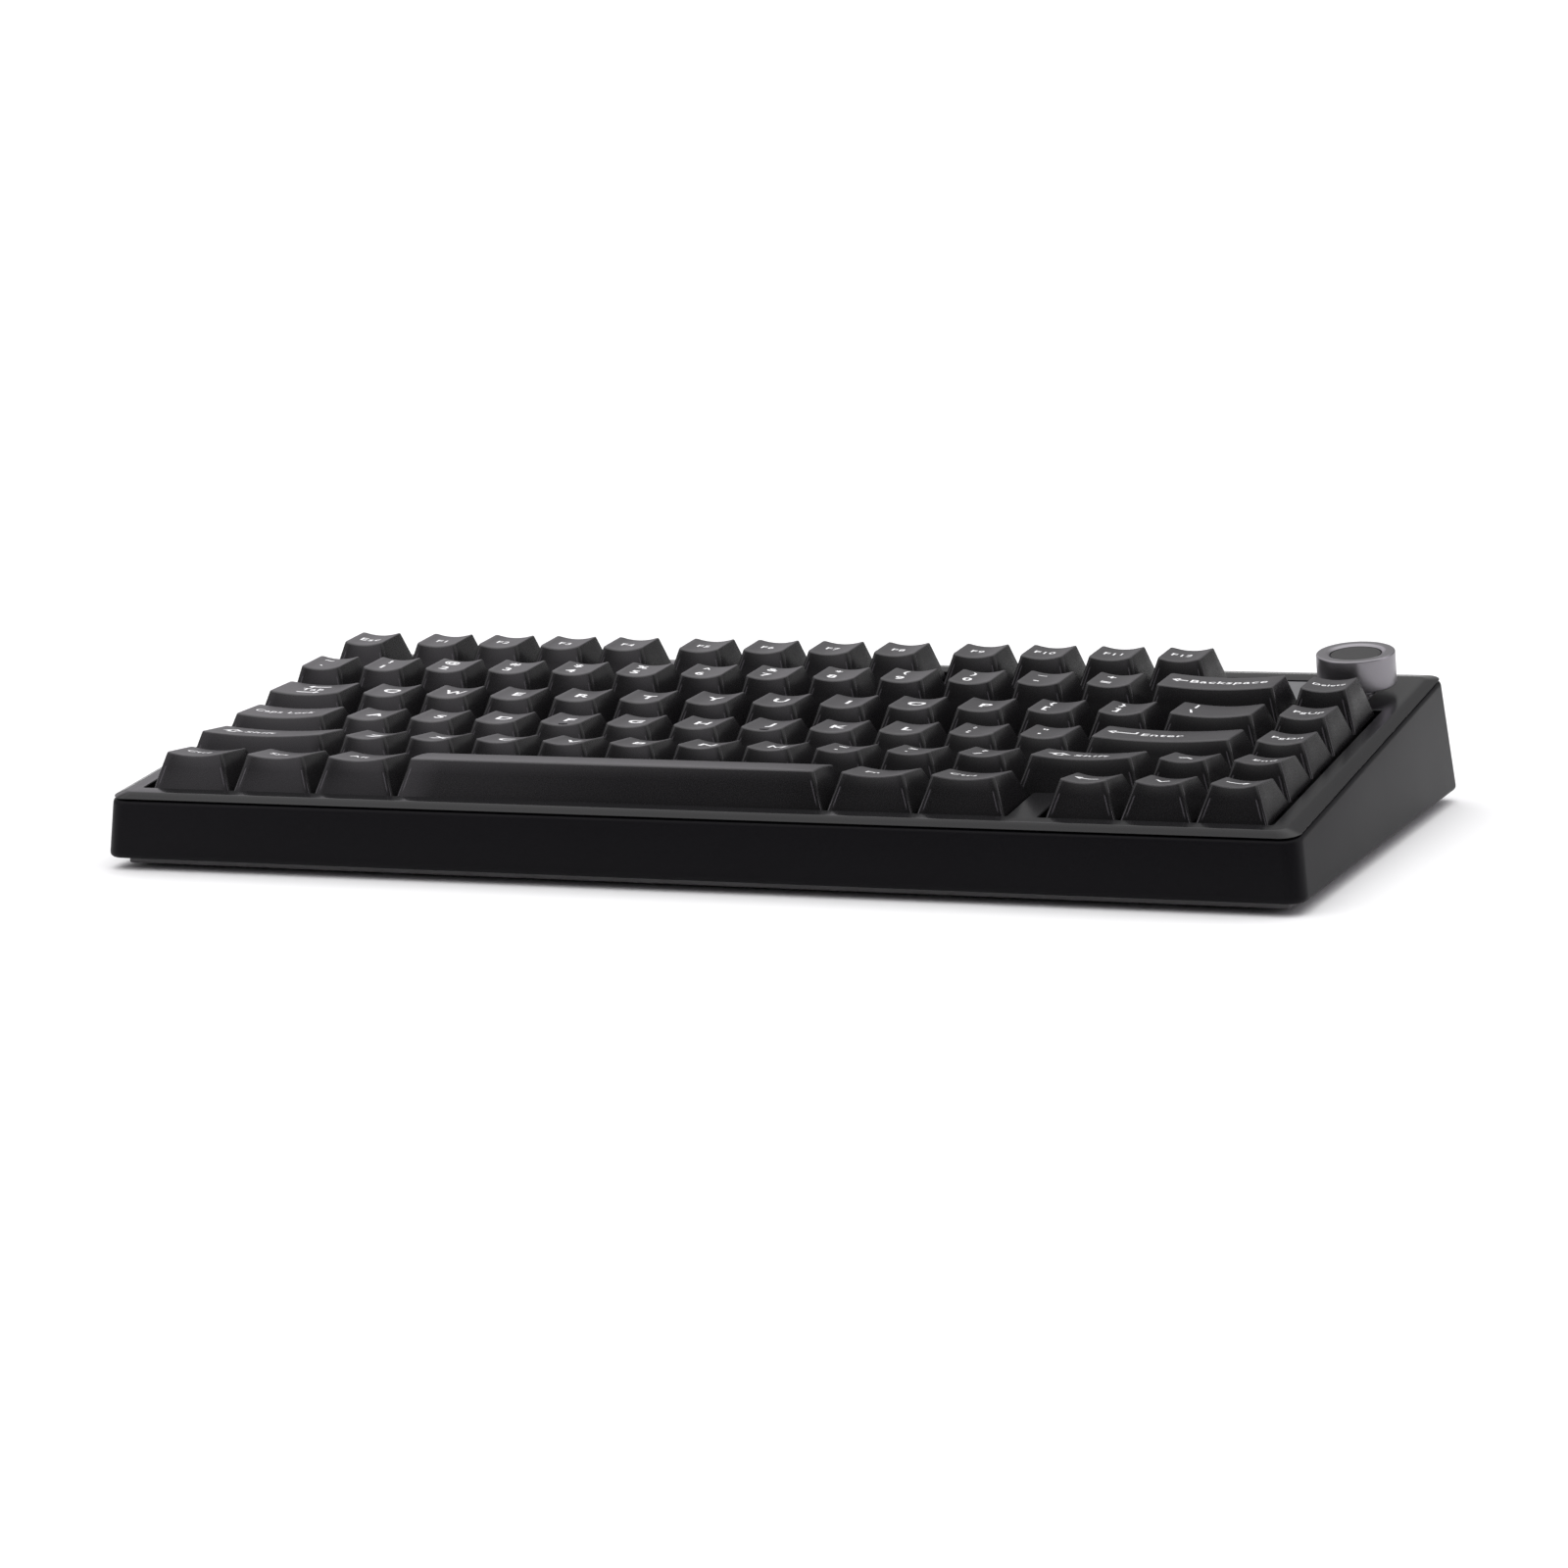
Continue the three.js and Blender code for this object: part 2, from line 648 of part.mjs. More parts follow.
// One switch: a body that hangs through the plate, a flange on it and a tapered top with a
// square well for the stem.
function switchHousing(key) {
  const [u, v] = keyCentre(key);
  const body = post(u, v, HOUSING_SIZE, HOUSING_BOTTOM, PLATE_TOP + CLEARANCE + 0.2);
  const base = PLATE_TOP + CLEARANCE;
  const half = FLANGE_SIZE / 2;
  const top = new THREE.BoxGeometry(FLANGE_SIZE, FLANGE_SIZE, HOUSING_TOP - base);
  top.translate(u, v, (HOUSING_TOP + base) / 2);
  reshaped(top, (point) => {
    if (point.z < (HOUSING_TOP + base) / 2) return;
    point.x = u + ((point.x - u) / half) * (half - HOUSING_TAPER);
    point.y = v + ((point.y - v) / half) * (half - HOUSING_TAPER);
  });
  return body.add(solidOf(top)).subtract(post(u, v, WELL_SIZE, WELL_BOTTOM, 3));
}

function switchHousings(keys) {
  const top = PAD_BOTTOM + PAD_THICKNESS;
  const pad = box(2, FIELD_WIDTH - 2, 2, 5 * UNIT + 10, PAD_BOTTOM, top);
  const rearPad = box(2, 13.5 * UNIT, 5 * UNIT, FIELD_DEPTH - 2, PAD_BOTTOM, top);
  return joined([pad, rearPad, ...keys.map(switchHousing)]);
}

function gasket() {
  const ring = (reach, z0, z1) =>
    box(-reach, FIELD_WIDTH + reach, -reach, FIELD_DEPTH + reach, z0, z1);
  const bottom = PLATE_TOP + CLEARANCE;
  const top = FRAME_RIB_BOTTOM - CLEARANCE;
  return ring(GASKET_OUTER, bottom, top).subtract(ring(GASKET_INNER, bottom - 1, top + 1));
}

function encoderBody() {
  const body = post(KNOB_U, KNOB_V, ENCODER_SIZE, HOUSING_BOTTOM, ENCODER_TOP);
  const bushing = cylinder(KNOB_U, KNOB_V, BUSHING_RADIUS, ENCODER_TOP - 0.2, FRAME_TOP + 0.6);
  const bore = cylinder(KNOB_U, KNOB_V, SHAFT_RADIUS + CLEARANCE, SHAFT_BOTTOM - 1, 9);
  return body.add(bushing).subtract(bore);
}

// The knob's outline is turned about its axis: a skirted ring with a shallow dish on top.
function knobRing() {
  const bore = SHAFT_RADIUS + CLEARANCE;
  const profile = [
    [bore, KNOB_BOTTOM],
    [KNOB_RADIUS - 0.3, KNOB_BOTTOM],
    [KNOB_RADIUS, KNOB_BOTTOM + 0.3],
    [KNOB_RADIUS, KNOB_TOP - 0.5],
    [KNOB_RADIUS - 0.5, KNOB_TOP],
    [INLAY_RADIUS + 0.8, KNOB_TOP],
    [INLAY_RADIUS + CLEARANCE, KNOB_TOP - 0.5],
    [INLAY_RADIUS + CLEARANCE, INLAY_FLOOR],
    [bore, INLAY_FLOOR],
    [bore, KNOB_BOTTOM],
  ].map(([radius, height]) => new THREE.Vector2(radius, height));
  return turned(profile, 48);
}

function turned(profile, sides) {
  const geometry = new THREE.LatheGeometry(profile, sides);
  geometry.rotateX(Math.PI / 2);
  geometry.translate(KNOB_U, KNOB_V, 0);
  return solidOf(geometry);
}

const group = new THREE.Group();
const deck = new THREE.Group();
deck.position.set(-FIELD_CENTRE_X, -CASE_CENTRE_Y, TUB_BASE_Z + DECK_RISE);
deck.rotation.x = TYPING_ANGLE;
group.add(deck);

const FINISHES = {
  anodised: { color: 0x2b2b2d, roughness: 0.5, metalness: 0.6 },
  shell: { color: 0x232325, roughness: 0.6, metalness: 0 },
  keycap: { color: 0x3a3a3c, roughness: 0.55, metalness: 0 },
  steel: { color: 0xb8b8ba, roughness: 0.35, metalness: 1 },
  plate: { color: 0x1b1b1d, roughness: 0.5, metalness: 0.7 },
  knob: { color: 0x8d8c92, roughness: 0.35, metalness: 0.9 },
  inlay: { color: 0x4b4a4e, roughness: 0.4, metalness: 0.8 },
  nylon: { color: 0x1d1d1f, roughness: 0.5, metalness: 0 },
  board: { color: 0x14201a, roughness: 0.5, metalness: 0 },
  foam: { color: 0x2e2e30, roughness: 0.95, metalness: 0 },
  rubber: { color: 0x161616, roughness: 0.85, metalness: 0 },
  wrap: { color: 0x5b6b7a, roughness: 0.6, metalness: 0 },
  panel: { color: 0x57565b, roughness: 0.3, metalness: 0.1 },
};

function add(parent, name, solid, finish) {
  const mesh = new THREE.Mesh(geometryOf(solid), new THREE.MeshStandardMaterial(FINISHES[finish]));
  mesh.name = name;
  parent.add(mesh);
}

const keyList = keyGroups();
const allKeys = keyList.flatMap(({ keys }) => keys);

add(deck, "top_case", topCase(), "anodised");
add(deck, "indicator_panel", indicatorPanel(), "panel");
add(deck, "switch_plate", switchPlate(allKeys), "plate");
add(deck, "switch_housings", switchHousings(allKeys), "nylon");
add(deck, "gasket", gasket(), "foam");
add(
  deck,
  "circuit_board",
  box(-0.5, FIELD_WIDTH + 0.5, -0.5, FIELD_DEPTH + 0.5, BOARD_TOP - BOARD_THICKNESS, BOARD_TOP),
  "board",
);
const foamTop = BOARD_TOP - BOARD_THICKNESS - CLEARANCE;
add(deck, "case_foam", box(1, FIELD_WIDTH - 1, 1, FOAM_BACK, FOAM_BOTTOM, foamTop), "foam");
add(deck, "encoder_body", encoderBody(), "steel");
const shaft = cylinder(KNOB_U, KNOB_V, SHAFT_RADIUS, SHAFT_BOTTOM, SHAFT_TOP);
add(deck, "encoder_shaft", shaft, "steel");
add(deck, "knob_ring", knobRing(), "knob");
const inlayTop = KNOB_TOP - INLAY_RECESS;
const inlay = cylinder(KNOB_U, KNOB_V, INLAY_RADIUS, inlayTop - INLAY_THICKNESS, inlayTop, 36);
add(deck, "knob_inlay", inlay, "inlay");
for (const { name, keys } of keyList) add(deck, `key_${name}`, keyGroupSolid(keys), "keycap");

add(group, "bottom_case", bottomCase(), "shell");
add(group, "battery", box(...BATTERY_BOX), "wrap");
const usbBoard = box(
  USB.x - USB_BOARD.halfWidth,
  USB.x + USB_BOARD.halfWidth,
  REAR_WALL_Y - USB.depth - USB_BOARD.inward,
  REAR_WALL_Y - 3,
  REAR_SOCKET_Z - USB_BOARD.bottom,
  REAR_SOCKET_Z - USB_BOARD.top,
);
add(group, "usb_board", usbBoard, "board");
add(group, "usb_c_port", usbPort(), "steel");
add(group, "mode_slider", slider(MODE_SLIDER), "nylon");
add(group, "system_slider", slider(SYSTEM_SLIDER), "nylon");
add(group, "tilt_foot_left", tiltFoot(-1), "nylon");
add(group, "tilt_foot_right", tiltFoot(1), "nylon");
for (const [name, edges] of Object.entries(REST_PADS)) add(group, name, restPad(edges), "rubber");

export default group;
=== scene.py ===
"""Looks of a compact mechanical keyboard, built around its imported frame.

Sizes in the dataclasses are millimetres. Deck coordinates are (u, v, w): u right, v back and
w off the tilted deck, from the front left corner of the key field at keycap rim level. Level
coordinates stand on the table, under the middle of the case.
"""

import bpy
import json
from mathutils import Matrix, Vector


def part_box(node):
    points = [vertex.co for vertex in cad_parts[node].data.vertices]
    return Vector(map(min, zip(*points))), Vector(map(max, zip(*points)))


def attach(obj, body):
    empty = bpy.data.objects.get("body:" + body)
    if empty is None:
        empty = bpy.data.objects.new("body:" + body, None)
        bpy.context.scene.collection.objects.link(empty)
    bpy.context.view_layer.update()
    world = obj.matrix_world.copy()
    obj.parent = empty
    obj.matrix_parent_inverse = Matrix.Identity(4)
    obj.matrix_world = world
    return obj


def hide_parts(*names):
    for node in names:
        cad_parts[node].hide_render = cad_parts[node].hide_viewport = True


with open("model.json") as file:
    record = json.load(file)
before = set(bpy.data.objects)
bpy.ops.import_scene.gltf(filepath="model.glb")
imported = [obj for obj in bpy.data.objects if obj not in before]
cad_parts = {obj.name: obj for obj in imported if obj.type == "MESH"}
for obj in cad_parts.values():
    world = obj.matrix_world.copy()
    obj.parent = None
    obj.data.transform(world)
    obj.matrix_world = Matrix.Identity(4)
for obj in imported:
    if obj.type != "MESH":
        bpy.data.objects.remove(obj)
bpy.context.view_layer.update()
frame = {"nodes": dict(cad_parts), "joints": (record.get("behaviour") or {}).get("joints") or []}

import json
import logging
import math
from dataclasses import dataclass, field
from enum import Enum
from typing import Any, Optional, Sequence, Union

import bmesh
import bpy
from mathutils import Matrix, Vector

MM = 0.001
LOG = logging.getLogger("keyboard")
Point = tuple[float, float, float]
Outline = list[tuple[float, float]]


# ---------------------------------------------------------------- the deck and the case


@dataclass(frozen=True)
class Deck:
    """The tilted plane that the keys, the plate and the top frame share."""

    pitch: float = 19.05
    columns: float = 16.0
    function_gap: float = 6.5
    function_group_gap: float = 0.19 * 19.05
    knob_column: float = 15.5
    knob_pivot_w: float = 8.0

    @property
    def width(self) -> float:
        """Width of the key field."""
        return self.columns * self.pitch

    @property
    def function_v(self) -> float:
        """Front edge of the function row."""
        return 5 * self.pitch + self.function_gap

    @property
    def depth(self) -> float:
        """Depth of the key field."""
        return self.function_v + self.pitch

    @property
    def knob(self) -> tuple[float, float]:
        """Deck place of the knob's axis."""
        return self.knob_column * self.pitch, self.function_v + self.pitch / 2

    def matrix(self) -> Matrix:
        """Deck millimetres to world metres, from the knob's hinge in the frame.

        Returns:
            The matrix that places deck coordinates in the part's frame.
        """
        hinge = next(joint for joint in frame["joints"] if joint["name"] == "knob_turn")
        axis = Vector(hinge["axis"])
        tilt = Matrix.Rotation(math.atan2(-axis.y, axis.z), 4, "X")
        pivot = Vector((*self.knob, self.knob_pivot_w)) * MM
        place = Matrix.Translation(Vector(hinge["pos_m"])) @ tilt @ Matrix.Translation(-pivot)
        return place @ Matrix.Scale(MM, 4)


DECK = Deck()
TO_WORLD = DECK.matrix()
TO_DECK = TO_WORLD.inverted()
LEVEL = Matrix.Scale(MM, 4)


@dataclass(frozen=True)
class CaseWalls:
    """The leaning outside of the case, which the tub and the top frame share."""

    half_width: float = 163.0
    half_depth: float = 72.09
    draft: float = 0.0972
    base_z: float = 3.0
    corner: float = 5.0
    least_radius: float = 0.8
    arc_steps: int = 10
    first_guess_z: float = 20.0
    guesses: int = 8

    def level_point(self, index: int, z: float, inset: float) -> Vector:
        """A point of the level outline.

        Args:
            index: Which point, counted anticlockwise from the front right corner.
            z: Height above the table.
            inset: How far inside the walls the outline runs.

        Returns:
            The point in level millimetres.
        """
        lean = self.draft * (z - self.base_z)
        radius = max(self.corner - inset, self.least_radius)
        quarter, step = divmod(index, self.arc_steps + 1)
        angle = math.pi / 2 * (quarter - 1 + step / self.arc_steps)
        side_x = 1 if quarter in (0, 1) else -1
        side_y = 1 if quarter in (1, 2) else -1
        x = side_x * (self.half_width - inset - lean - radius) + radius * math.cos(angle)
        y = side_y * (self.half_depth - inset - lean - radius) + radius * math.sin(angle)
        return Vector((x, y, z))

    @property
    def count(self) -> int:
        """How many points an outline has."""
        return 4 * (self.arc_steps + 1)

    def level_ring(self, z: float, inset: float) -> list[Vector]:
        """The whole outline at one height, in world metres."""
        return [self.level_point(i, z, inset) * MM for i in range(self.count)]

    def deck_ring(self, w: float, inset: float) -> list[Vector]:
        """The outline where the walls meet one deck level, in world metres.

        Args:
            w: The deck level.
            inset: How far inside the walls the outline runs.

        Returns:
            The ring's points.
        """
        ring = []
        for index in range(self.count):
            z = self.first_guess_z
            for _ in range(self.guesses):
                point = self.level_point(index, z, inset) * MM
                z += w - (TO_DECK @ point).z
            ring.append(point)
        return ring


WALLS = CaseWalls()


def deck_rectangle(
    u: tuple[float, float], v: tuple[float, float], w: float, radius: float
) -> list[Vector]:
    """A rounded rectangle on the deck with as many points as a wall outline.

    Args:
        u: Left and right edge.
        v: Front and back edge.
        w: Deck level.
        radius: Corner radius.

    Returns:
        The points in world metres, from the front right corner anticlockwise.
    """
    steps = WALLS.arc_steps
    ring = []
    for quarter, (centre_u, centre_v) in enumerate(
        [
            (u[1] - radius, v[0] + radius),
            (u[1] - radius, v[1] - radius),
            (u[0] + radius, v[1] - radius),
            (u[0] + radius, v[0] + radius),
        ]
    ):
        for step in range(steps + 1):
            angle = math.pi / 2 * (quarter - 1 + step / steps)
            point = (centre_u + radius * math.cos(angle), centre_v + radius * math.sin(angle), w)
            ring.append(TO_WORLD @ Vector(point))
    return ring


# ---------------------------------------------------------------- mesh making


def blended(first: Sequence[Vector], second: Sequence[Vector], share: float) -> list[Vector]:
    """A ring between two rings with the same number of points."""
    return [a.lerp(b, share) for a, b in zip(first, second)]


def skin(bm: bmesh.types.BMesh, rings: Sequence[Sequence[Vector]], closed: bool = False) -> None:
    """Joins rings of points into a tube with closed ends.

    Args:
        bm: The mesh that takes the faces.
        rings: Rings with the same number of points, each anticlockwise seen from the last one.
        closed: Whether the last ring joins the first, so that there are no ends.
    """
    loops = [[bm.verts.new(point) for point in ring] for ring in rings]
    pairs = list(zip(loops, loops[1:]))
    if closed:
        pairs.append((loops[-1], loops[0]))
    for low, high in pairs:
        for i in range(len(low)):
            j = (i + 1) % len(low)
            bm.faces.new((low[i], low[j], high[j], high[i]))
    if not closed:
        bm.faces.new(loops[0][::-1])
        bm.faces.new(loops[-1])


def object_from(bm: bmesh.types.BMesh, name: str, smooth_angle: float = 32.0) -> bpy.types.Object:
    """Turns a bmesh into a scene object with smooth faces and sharp corners.

    Args:
        bm: The finished mesh, freed afterwards.
        name: The object's name.
        smooth_angle: Edges that bend more than this many degrees stay sharp.

    Returns:
        The new object, at the origin.
    """
    bmesh.ops.recalc_face_normals(bm, faces=bm.faces)
    mesh = bpy.data.meshes.new(name)
    bm.to_mesh(mesh)
    bm.free()
    piece = linked(name, mesh)
    shade(piece, smooth_angle)
    return piece


def linked(name: str, data: bpy.types.ID) -> bpy.types.Object:
    """Puts a new object in the scene, at the origin.

    Args:
        name: Its name.
        data: Its mesh, curve, lamp or camera.

    Returns:
        The object.
    """
    piece = bpy.data.objects.new(name, data)
    bpy.context.collection.objects.link(piece)
    return piece


def shade(piece: bpy.types.Object, smooth_angle: float) -> None:
    """Shades a piece smooth, but for the edges that bend more than an angle in degrees."""
    piece.data.shade_smooth()
    piece.data.set_sharp_from_angle(angle=math.radians(smooth_angle))


def frozen(piece: bpy.types.Object) -> bpy.types.Object:
    """Applies every modifier of a piece.

    Args:
        piece: The object that has the modifiers.

    Returns:
        The same object with a plain mesh and no modifiers.
    """
    graph = bpy.context.evaluated_depsgraph_get()
    mesh = bpy.data.meshes.new_from_object(piece.evaluated_get(graph))
    piece.modifiers.clear()
    piece.data = mesh
    return piece


def carve(
    target: bpy.types.Object,
    tools: Sequence[bpy.types.Object],
    operation: str = "DIFFERENCE",
) -> None:
    """Cuts tools out of a piece, or joins them to it, and removes the tools.

    Args:
        target: The piece that changes.
        tools: Closed solids.
        operation: DIFFERENCE or UNION.
    """
    for tool in tools:
        cut = target.modifiers.new("cut", "BOOLEAN")
        cut.operation = operation
        cut.solver = "EXACT"
        cut.object = tool
    frozen(target)
    for tool in tools:
        bpy.data.objects.remove(tool)


def offset(points: Outline, distance: float) -> Outline:
    """Grows a right-angled anticlockwise outline.

    Args:
        points: The outline's corners.
        distance: How far every side moves out, or in where it is negative.

    Returns:
        The corners of the new outline.
    """
    grown = []
    for i, (x, y) in enumerate(points):
        before, after = points[i - 1], points[(i + 1) % len(points)]
        into = Vector((x - before[0], y - before[1])).normalized()
        out = Vector((after[0] - x, after[1] - y)).normalized()
        grown.append((x + distance * (into.y + out.y), y - distance * (into.x + out.x)))
    return grown


def rounded(points: Outline, radius: float, steps: int = 4) -> Outline:
    """Rounds every corner of a right-angled outline, inside corners too.

    Args:
        points: The outline's corners, anticlockwise.
        radius: Radius of every corner.
        steps: How many sides each corner's arc has.

    Returns:
        The points of the rounded outline.
    """
    result = []
    for i, (x, y) in enumerate(points):
        corner = Vector((x, y))
        into = (corner - Vector(points[i - 1])).normalized()
        out = (Vector(points[(i + 1) % len(points)]) - corner).normalized()
        centre = corner - into * radius + out * radius
        for step in range(steps + 1):
            angle = math.pi / 2 * step / steps
            spoke = -out * math.cos(angle) + into * math.sin(angle)
            result.append(tuple(centre + radius * spoke))
    return result


def slab(
    name: str,
    layers: Sequence[tuple[Outline, float]],
    place: Matrix = TO_WORLD,
    smooth_angle: float = 32.0,
) -> bpy.types.Object:
    """A solid through a stack of outlines.

    Args:
        name: The object's name.
        layers: Outlines with equal point counts, each with its height.
        place: Millimetres to world metres.
        smooth_angle: As in object_from.

    Returns:
        The new object.
    """
    bm = bmesh.new()
    skin(bm, [[place @ Vector((x, y, z)) for x, y in outline] for outline, z in layers])
    return object_from(bm, name, smooth_angle)


def rectangle(x0: float, x1: float, y0: float, y1: float) -> Outline:
    """The corners of a rectangle, anticlockwise."""
    return [(x0, y0), (x1, y0), (x1, y1), (x0, y1)]


def circle(x: float, y: float, radius: float, sides: int = 48) -> Outline:
    """Points round a circle, anticlockwise."""
    angles = [2 * math.pi * i / sides for i in range(sides)]
    return [(x + radius * math.cos(a), y + radius * math.sin(a)) for a in angles]


def lathe(
    name: str, centre: tuple[float, float], profile: Outline, closed: bool, sides: int = 96
) -> bpy.types.Object:
    """Turns a profile of (radius, height) points about an axis off the deck.

    Args:
        name: The object's name.
        centre: Deck place of the axis.
        profile: The profile's points.
        closed: Whether the profile closes on itself, as a ring's does.
        sides: How many sides the circle has.

    Returns:
        The new object.
    """
    bm = bmesh.new()
    rings = [
        [TO_WORLD @ Vector((x, y, height)) for x, y in circle(*centre, radius, sides)]
        for radius, height in profile
    ]
    skin(bm, rings, closed)
    return object_from(bm, name, 25.0)


# ---------------------------------------------------------------- shader writing


class Wire:
    """One output socket, so that shader maths reads as Python."""

    def __init__(self, bench: "Bench", socket: bpy.types.NodeSocket) -> None:
        """Keeps the socket and the bench that makes its neighbours."""
        self.bench = bench
        self.socket = socket

    def _sum(self, operation: str, first: Any, second: Any = 0.0) -> "Wire":
        """Adds one Math node that takes wires or numbers."""
        return self.bench.node("ShaderNodeMath", {"operation": operation}, {0: first, 1: second})

    def __add__(self, other: Any) -> "Wire":
        """Self plus other."""
        return self._sum("ADD", self, other)

    __radd__ = __add__

    def __sub__(self, other: Any) -> "Wire":
        """Self minus other."""
        return self._sum("SUBTRACT", self, other)

    def __rsub__(self, other: Any) -> "Wire":
        """Other minus self."""
        return self._sum("SUBTRACT", other, self)

    def __mul__(self, other: Any) -> "Wire":
        """Self times other."""
        return self._sum("MULTIPLY", self, other)

    __rmul__ = __mul__

    def __pow__(self, other: Any) -> "Wire":
        """Self to a power."""
        return self._sum("POWER", self, other)

    def between(self, low: float, high: float, first: float = 0.0, last: float = 1.0) -> "Wire":
        """A smooth step.

        Args:
            low: Where the step starts.
            high: Where it ends.
            first: The result below low.
            last: The result above high.

        Returns:
            The result.
        """
        values = {0: self, 1: low, 2: high, 3: first, 4: last}
        return self.bench.node("ShaderNodeMapRange", {"interpolation_type": "SMOOTHSTEP"}, values)

    def at_least(self, other: Any) -> "Wire":
        """The greater of self and other."""
        return self._sum("MAXIMUM", self, other)

    def sine(self) -> "Wire":
        """The sine of the value in radians."""
        return self._sum("SINE", self)


class Bench:
    """One node tree of a material or a world, with the few helpers that the looks need."""

    def __init__(
        self,
        owner: Union[bpy.types.Material, bpy.types.World],
        output: str = "ShaderNodeOutputMaterial",
        shader: str = "ShaderNodeBsdfPrincipled",
    ) -> None:
        """Starts the owner's tree again with an output and a shader.

        Args:
            owner: The material or world.
            output: Type of the output node.
            shader: Type of the shader node that feeds it.
        """
        self.owner = owner
        owner.use_nodes = True
        self.tree = owner.node_tree
        self.tree.nodes.clear()
        self.shader = self.tree.nodes.new(shader)
        self.node(output, None, {0: Wire(self, self.shader.outputs[0])}, None)

    def node(
        self,
        kind: str,
        settings: Optional[dict[str, Any]] = None,
        values: Optional[dict[Union[int, str], Any]] = None,
        output: Union[int, str, None] = 0,
    ) -> Optional[Wire]:
        """Adds one node.

        Args:
            kind: The node's type.
            settings: Attributes set before the sockets, such as an operation.
            values: Numbers, colours or wires for the input sockets.
            output: Which output the returned wire holds, or None for a node that has none.

        Returns:
            The chosen output, if there is one.
        """
        made = self.tree.nodes.new(kind)
        for key, value in (settings or {}).items():
            setattr(made, key, value)
        for key, value in (values or {}).items():
            self.feed(made.inputs[key], value)
        return None if output is None else Wire(self, made.outputs[output])

    def feed(self, socket: bpy.types.NodeSocket, value: Any) -> None:
        """Links a wire to a socket, or sets the socket's own value.

        Args:
            socket: The input.
            value: A wire, number or colour.
        """
        if isinstance(value, Wire):
            self.tree.links.new(value.socket, socket)
        else:
            socket.default_value = value

    def set(self, **values: Any) -> None:
        """Sets the shader's sockets, named with underscores for spaces."""
        for key, value in values.items():
            self.feed(self.shader.inputs[key.replace("_", " ")], value)

    def place(self) -> Wire:
        """Object coordinates in metres."""
        return self.node("ShaderNodeTexCoord", output="Object")

    def split(self, vector: Wire) -> list[Wire]:
        """The three parts of a vector."""
        first = self.node("ShaderNodeSeparateXYZ", None, {0: vector})
        return [Wire(self, socket) for socket in first.socket.node.outputs]

    def noise(self, per_metre: float, roughness: float = 0.5) -> Wire:
        """Noise in object space, with about so many cells to the metre."""
        values = {"Vector": self.place(), "Scale": per_metre, "Detail": 2.0, "Roughness": roughness}
        return self.node("ShaderNodeTexNoise", None, values, "Fac")

    def mixed(self, share: Wire, first: Any, second: Any) -> Wire:
        """A colour between two, each a wire or an opaque colour's three numbers.

        Args:
            share: 0 for the first colour and 1 for the second.
            first: The first colour.
            second: The second colour.

        Returns:
            The mixed colour.
        """
        ends = [end if isinstance(end, Wire) else (*end, 1.0) for end in (first, second)]
        values = {0: share, 6: ends[0], 7: ends[1]}
        return self.node("ShaderNodeMix", {"data_type": "RGBA"}, values, 2)

    def bump(self, height: Wire, strength: float, distance: float) -> Wire:
        """A normal bent by a height."""
        values = {"Strength": strength, "Distance": distance, "Height": height}
        return self.node("ShaderNodeBump", None, values)

    def deck_place(self) -> tuple[Wire, Wire]:
        """Where the surface is along the deck.

        Returns:
            Deck u and v in metres from the part's origin, turned flat from object space.
        """
        values = {"Vector": self.place(), "Angle": TO_DECK.to_euler().x}
        turned = self.node("ShaderNodeVectorRotate", {"rotation_type": "X_AXIS"}, values)
        across, back, _ = self.split(turned)
        return across, back


def lighter(colour: Sequence[float], factor: float) -> tuple[float, ...]:
    """A colour times a factor."""
    return tuple(channel * factor for channel in colour)


@dataclass(frozen=True)
class Finish:
    """A moulded or coated surface: fine grain, with a slow drift in tone and gloss."""

    name: str
    slot: str
    colour: tuple[float, float, float]
    roughness: float
    metallic: float = 0.0
    grain_per_metre: float = 3200.0
    grain_strength: float = 0.25
    grain_depth: float = 0.00006
    grain_roughness: float = 0.6
    drift: float = 0.12
    drift_per_metre: float = 28.0
    gloss_drift: float = 0.06
    gloss_grain: float = 0.1
    specular: float = 0.5

    @property
    def label(self) -> str:
        """The material's own name, apart from the frame's plain ones."""
        return f"{self.name}_finish"

    def material(self) -> bpy.types.Material:
        """Builds the finish once, and returns the same material after that."""
        known = bpy.data.materials.get(self.label)
        return known if known else self.build().owner

    def build(self) -> Bench:
        """Writes the shader tree.

        Returns:
            The bench that holds the new material.
        """
        bench = Bench(bpy.data.materials.new(self.label))
        slow = bench.noise(self.drift_per_metre)
        fine = bench.noise(self.grain_per_metre, self.grain_roughness)
        dark, light = lighter(self.colour, 1 - self.drift), lighter(self.colour, 1 + self.drift)
        bench.set(
            Base_Color=bench.mixed((slow + fine) * 0.5, dark, light),
            Roughness=(slow - 0.5) * self.gloss_drift + (fine - 0.5) * self.gloss_grain + self.roughness,
            Metallic=self.metallic,
            Specular_IOR_Level=self.specular,
            Normal=bench.bump(fine, self.grain_strength, self.grain_depth),
        )
        return bench

    def dress(self, *pieces: bpy.types.Object) -> None:
        """Gives pieces this finish.

        Args:
            pieces: Nodes of the frame, or pieces made here.
        """
        for piece in pieces:
            piece.data.materials.clear()
            piece.data.materials.append(self.material())
            LOG.info("%s: %s", piece.name, self.label)


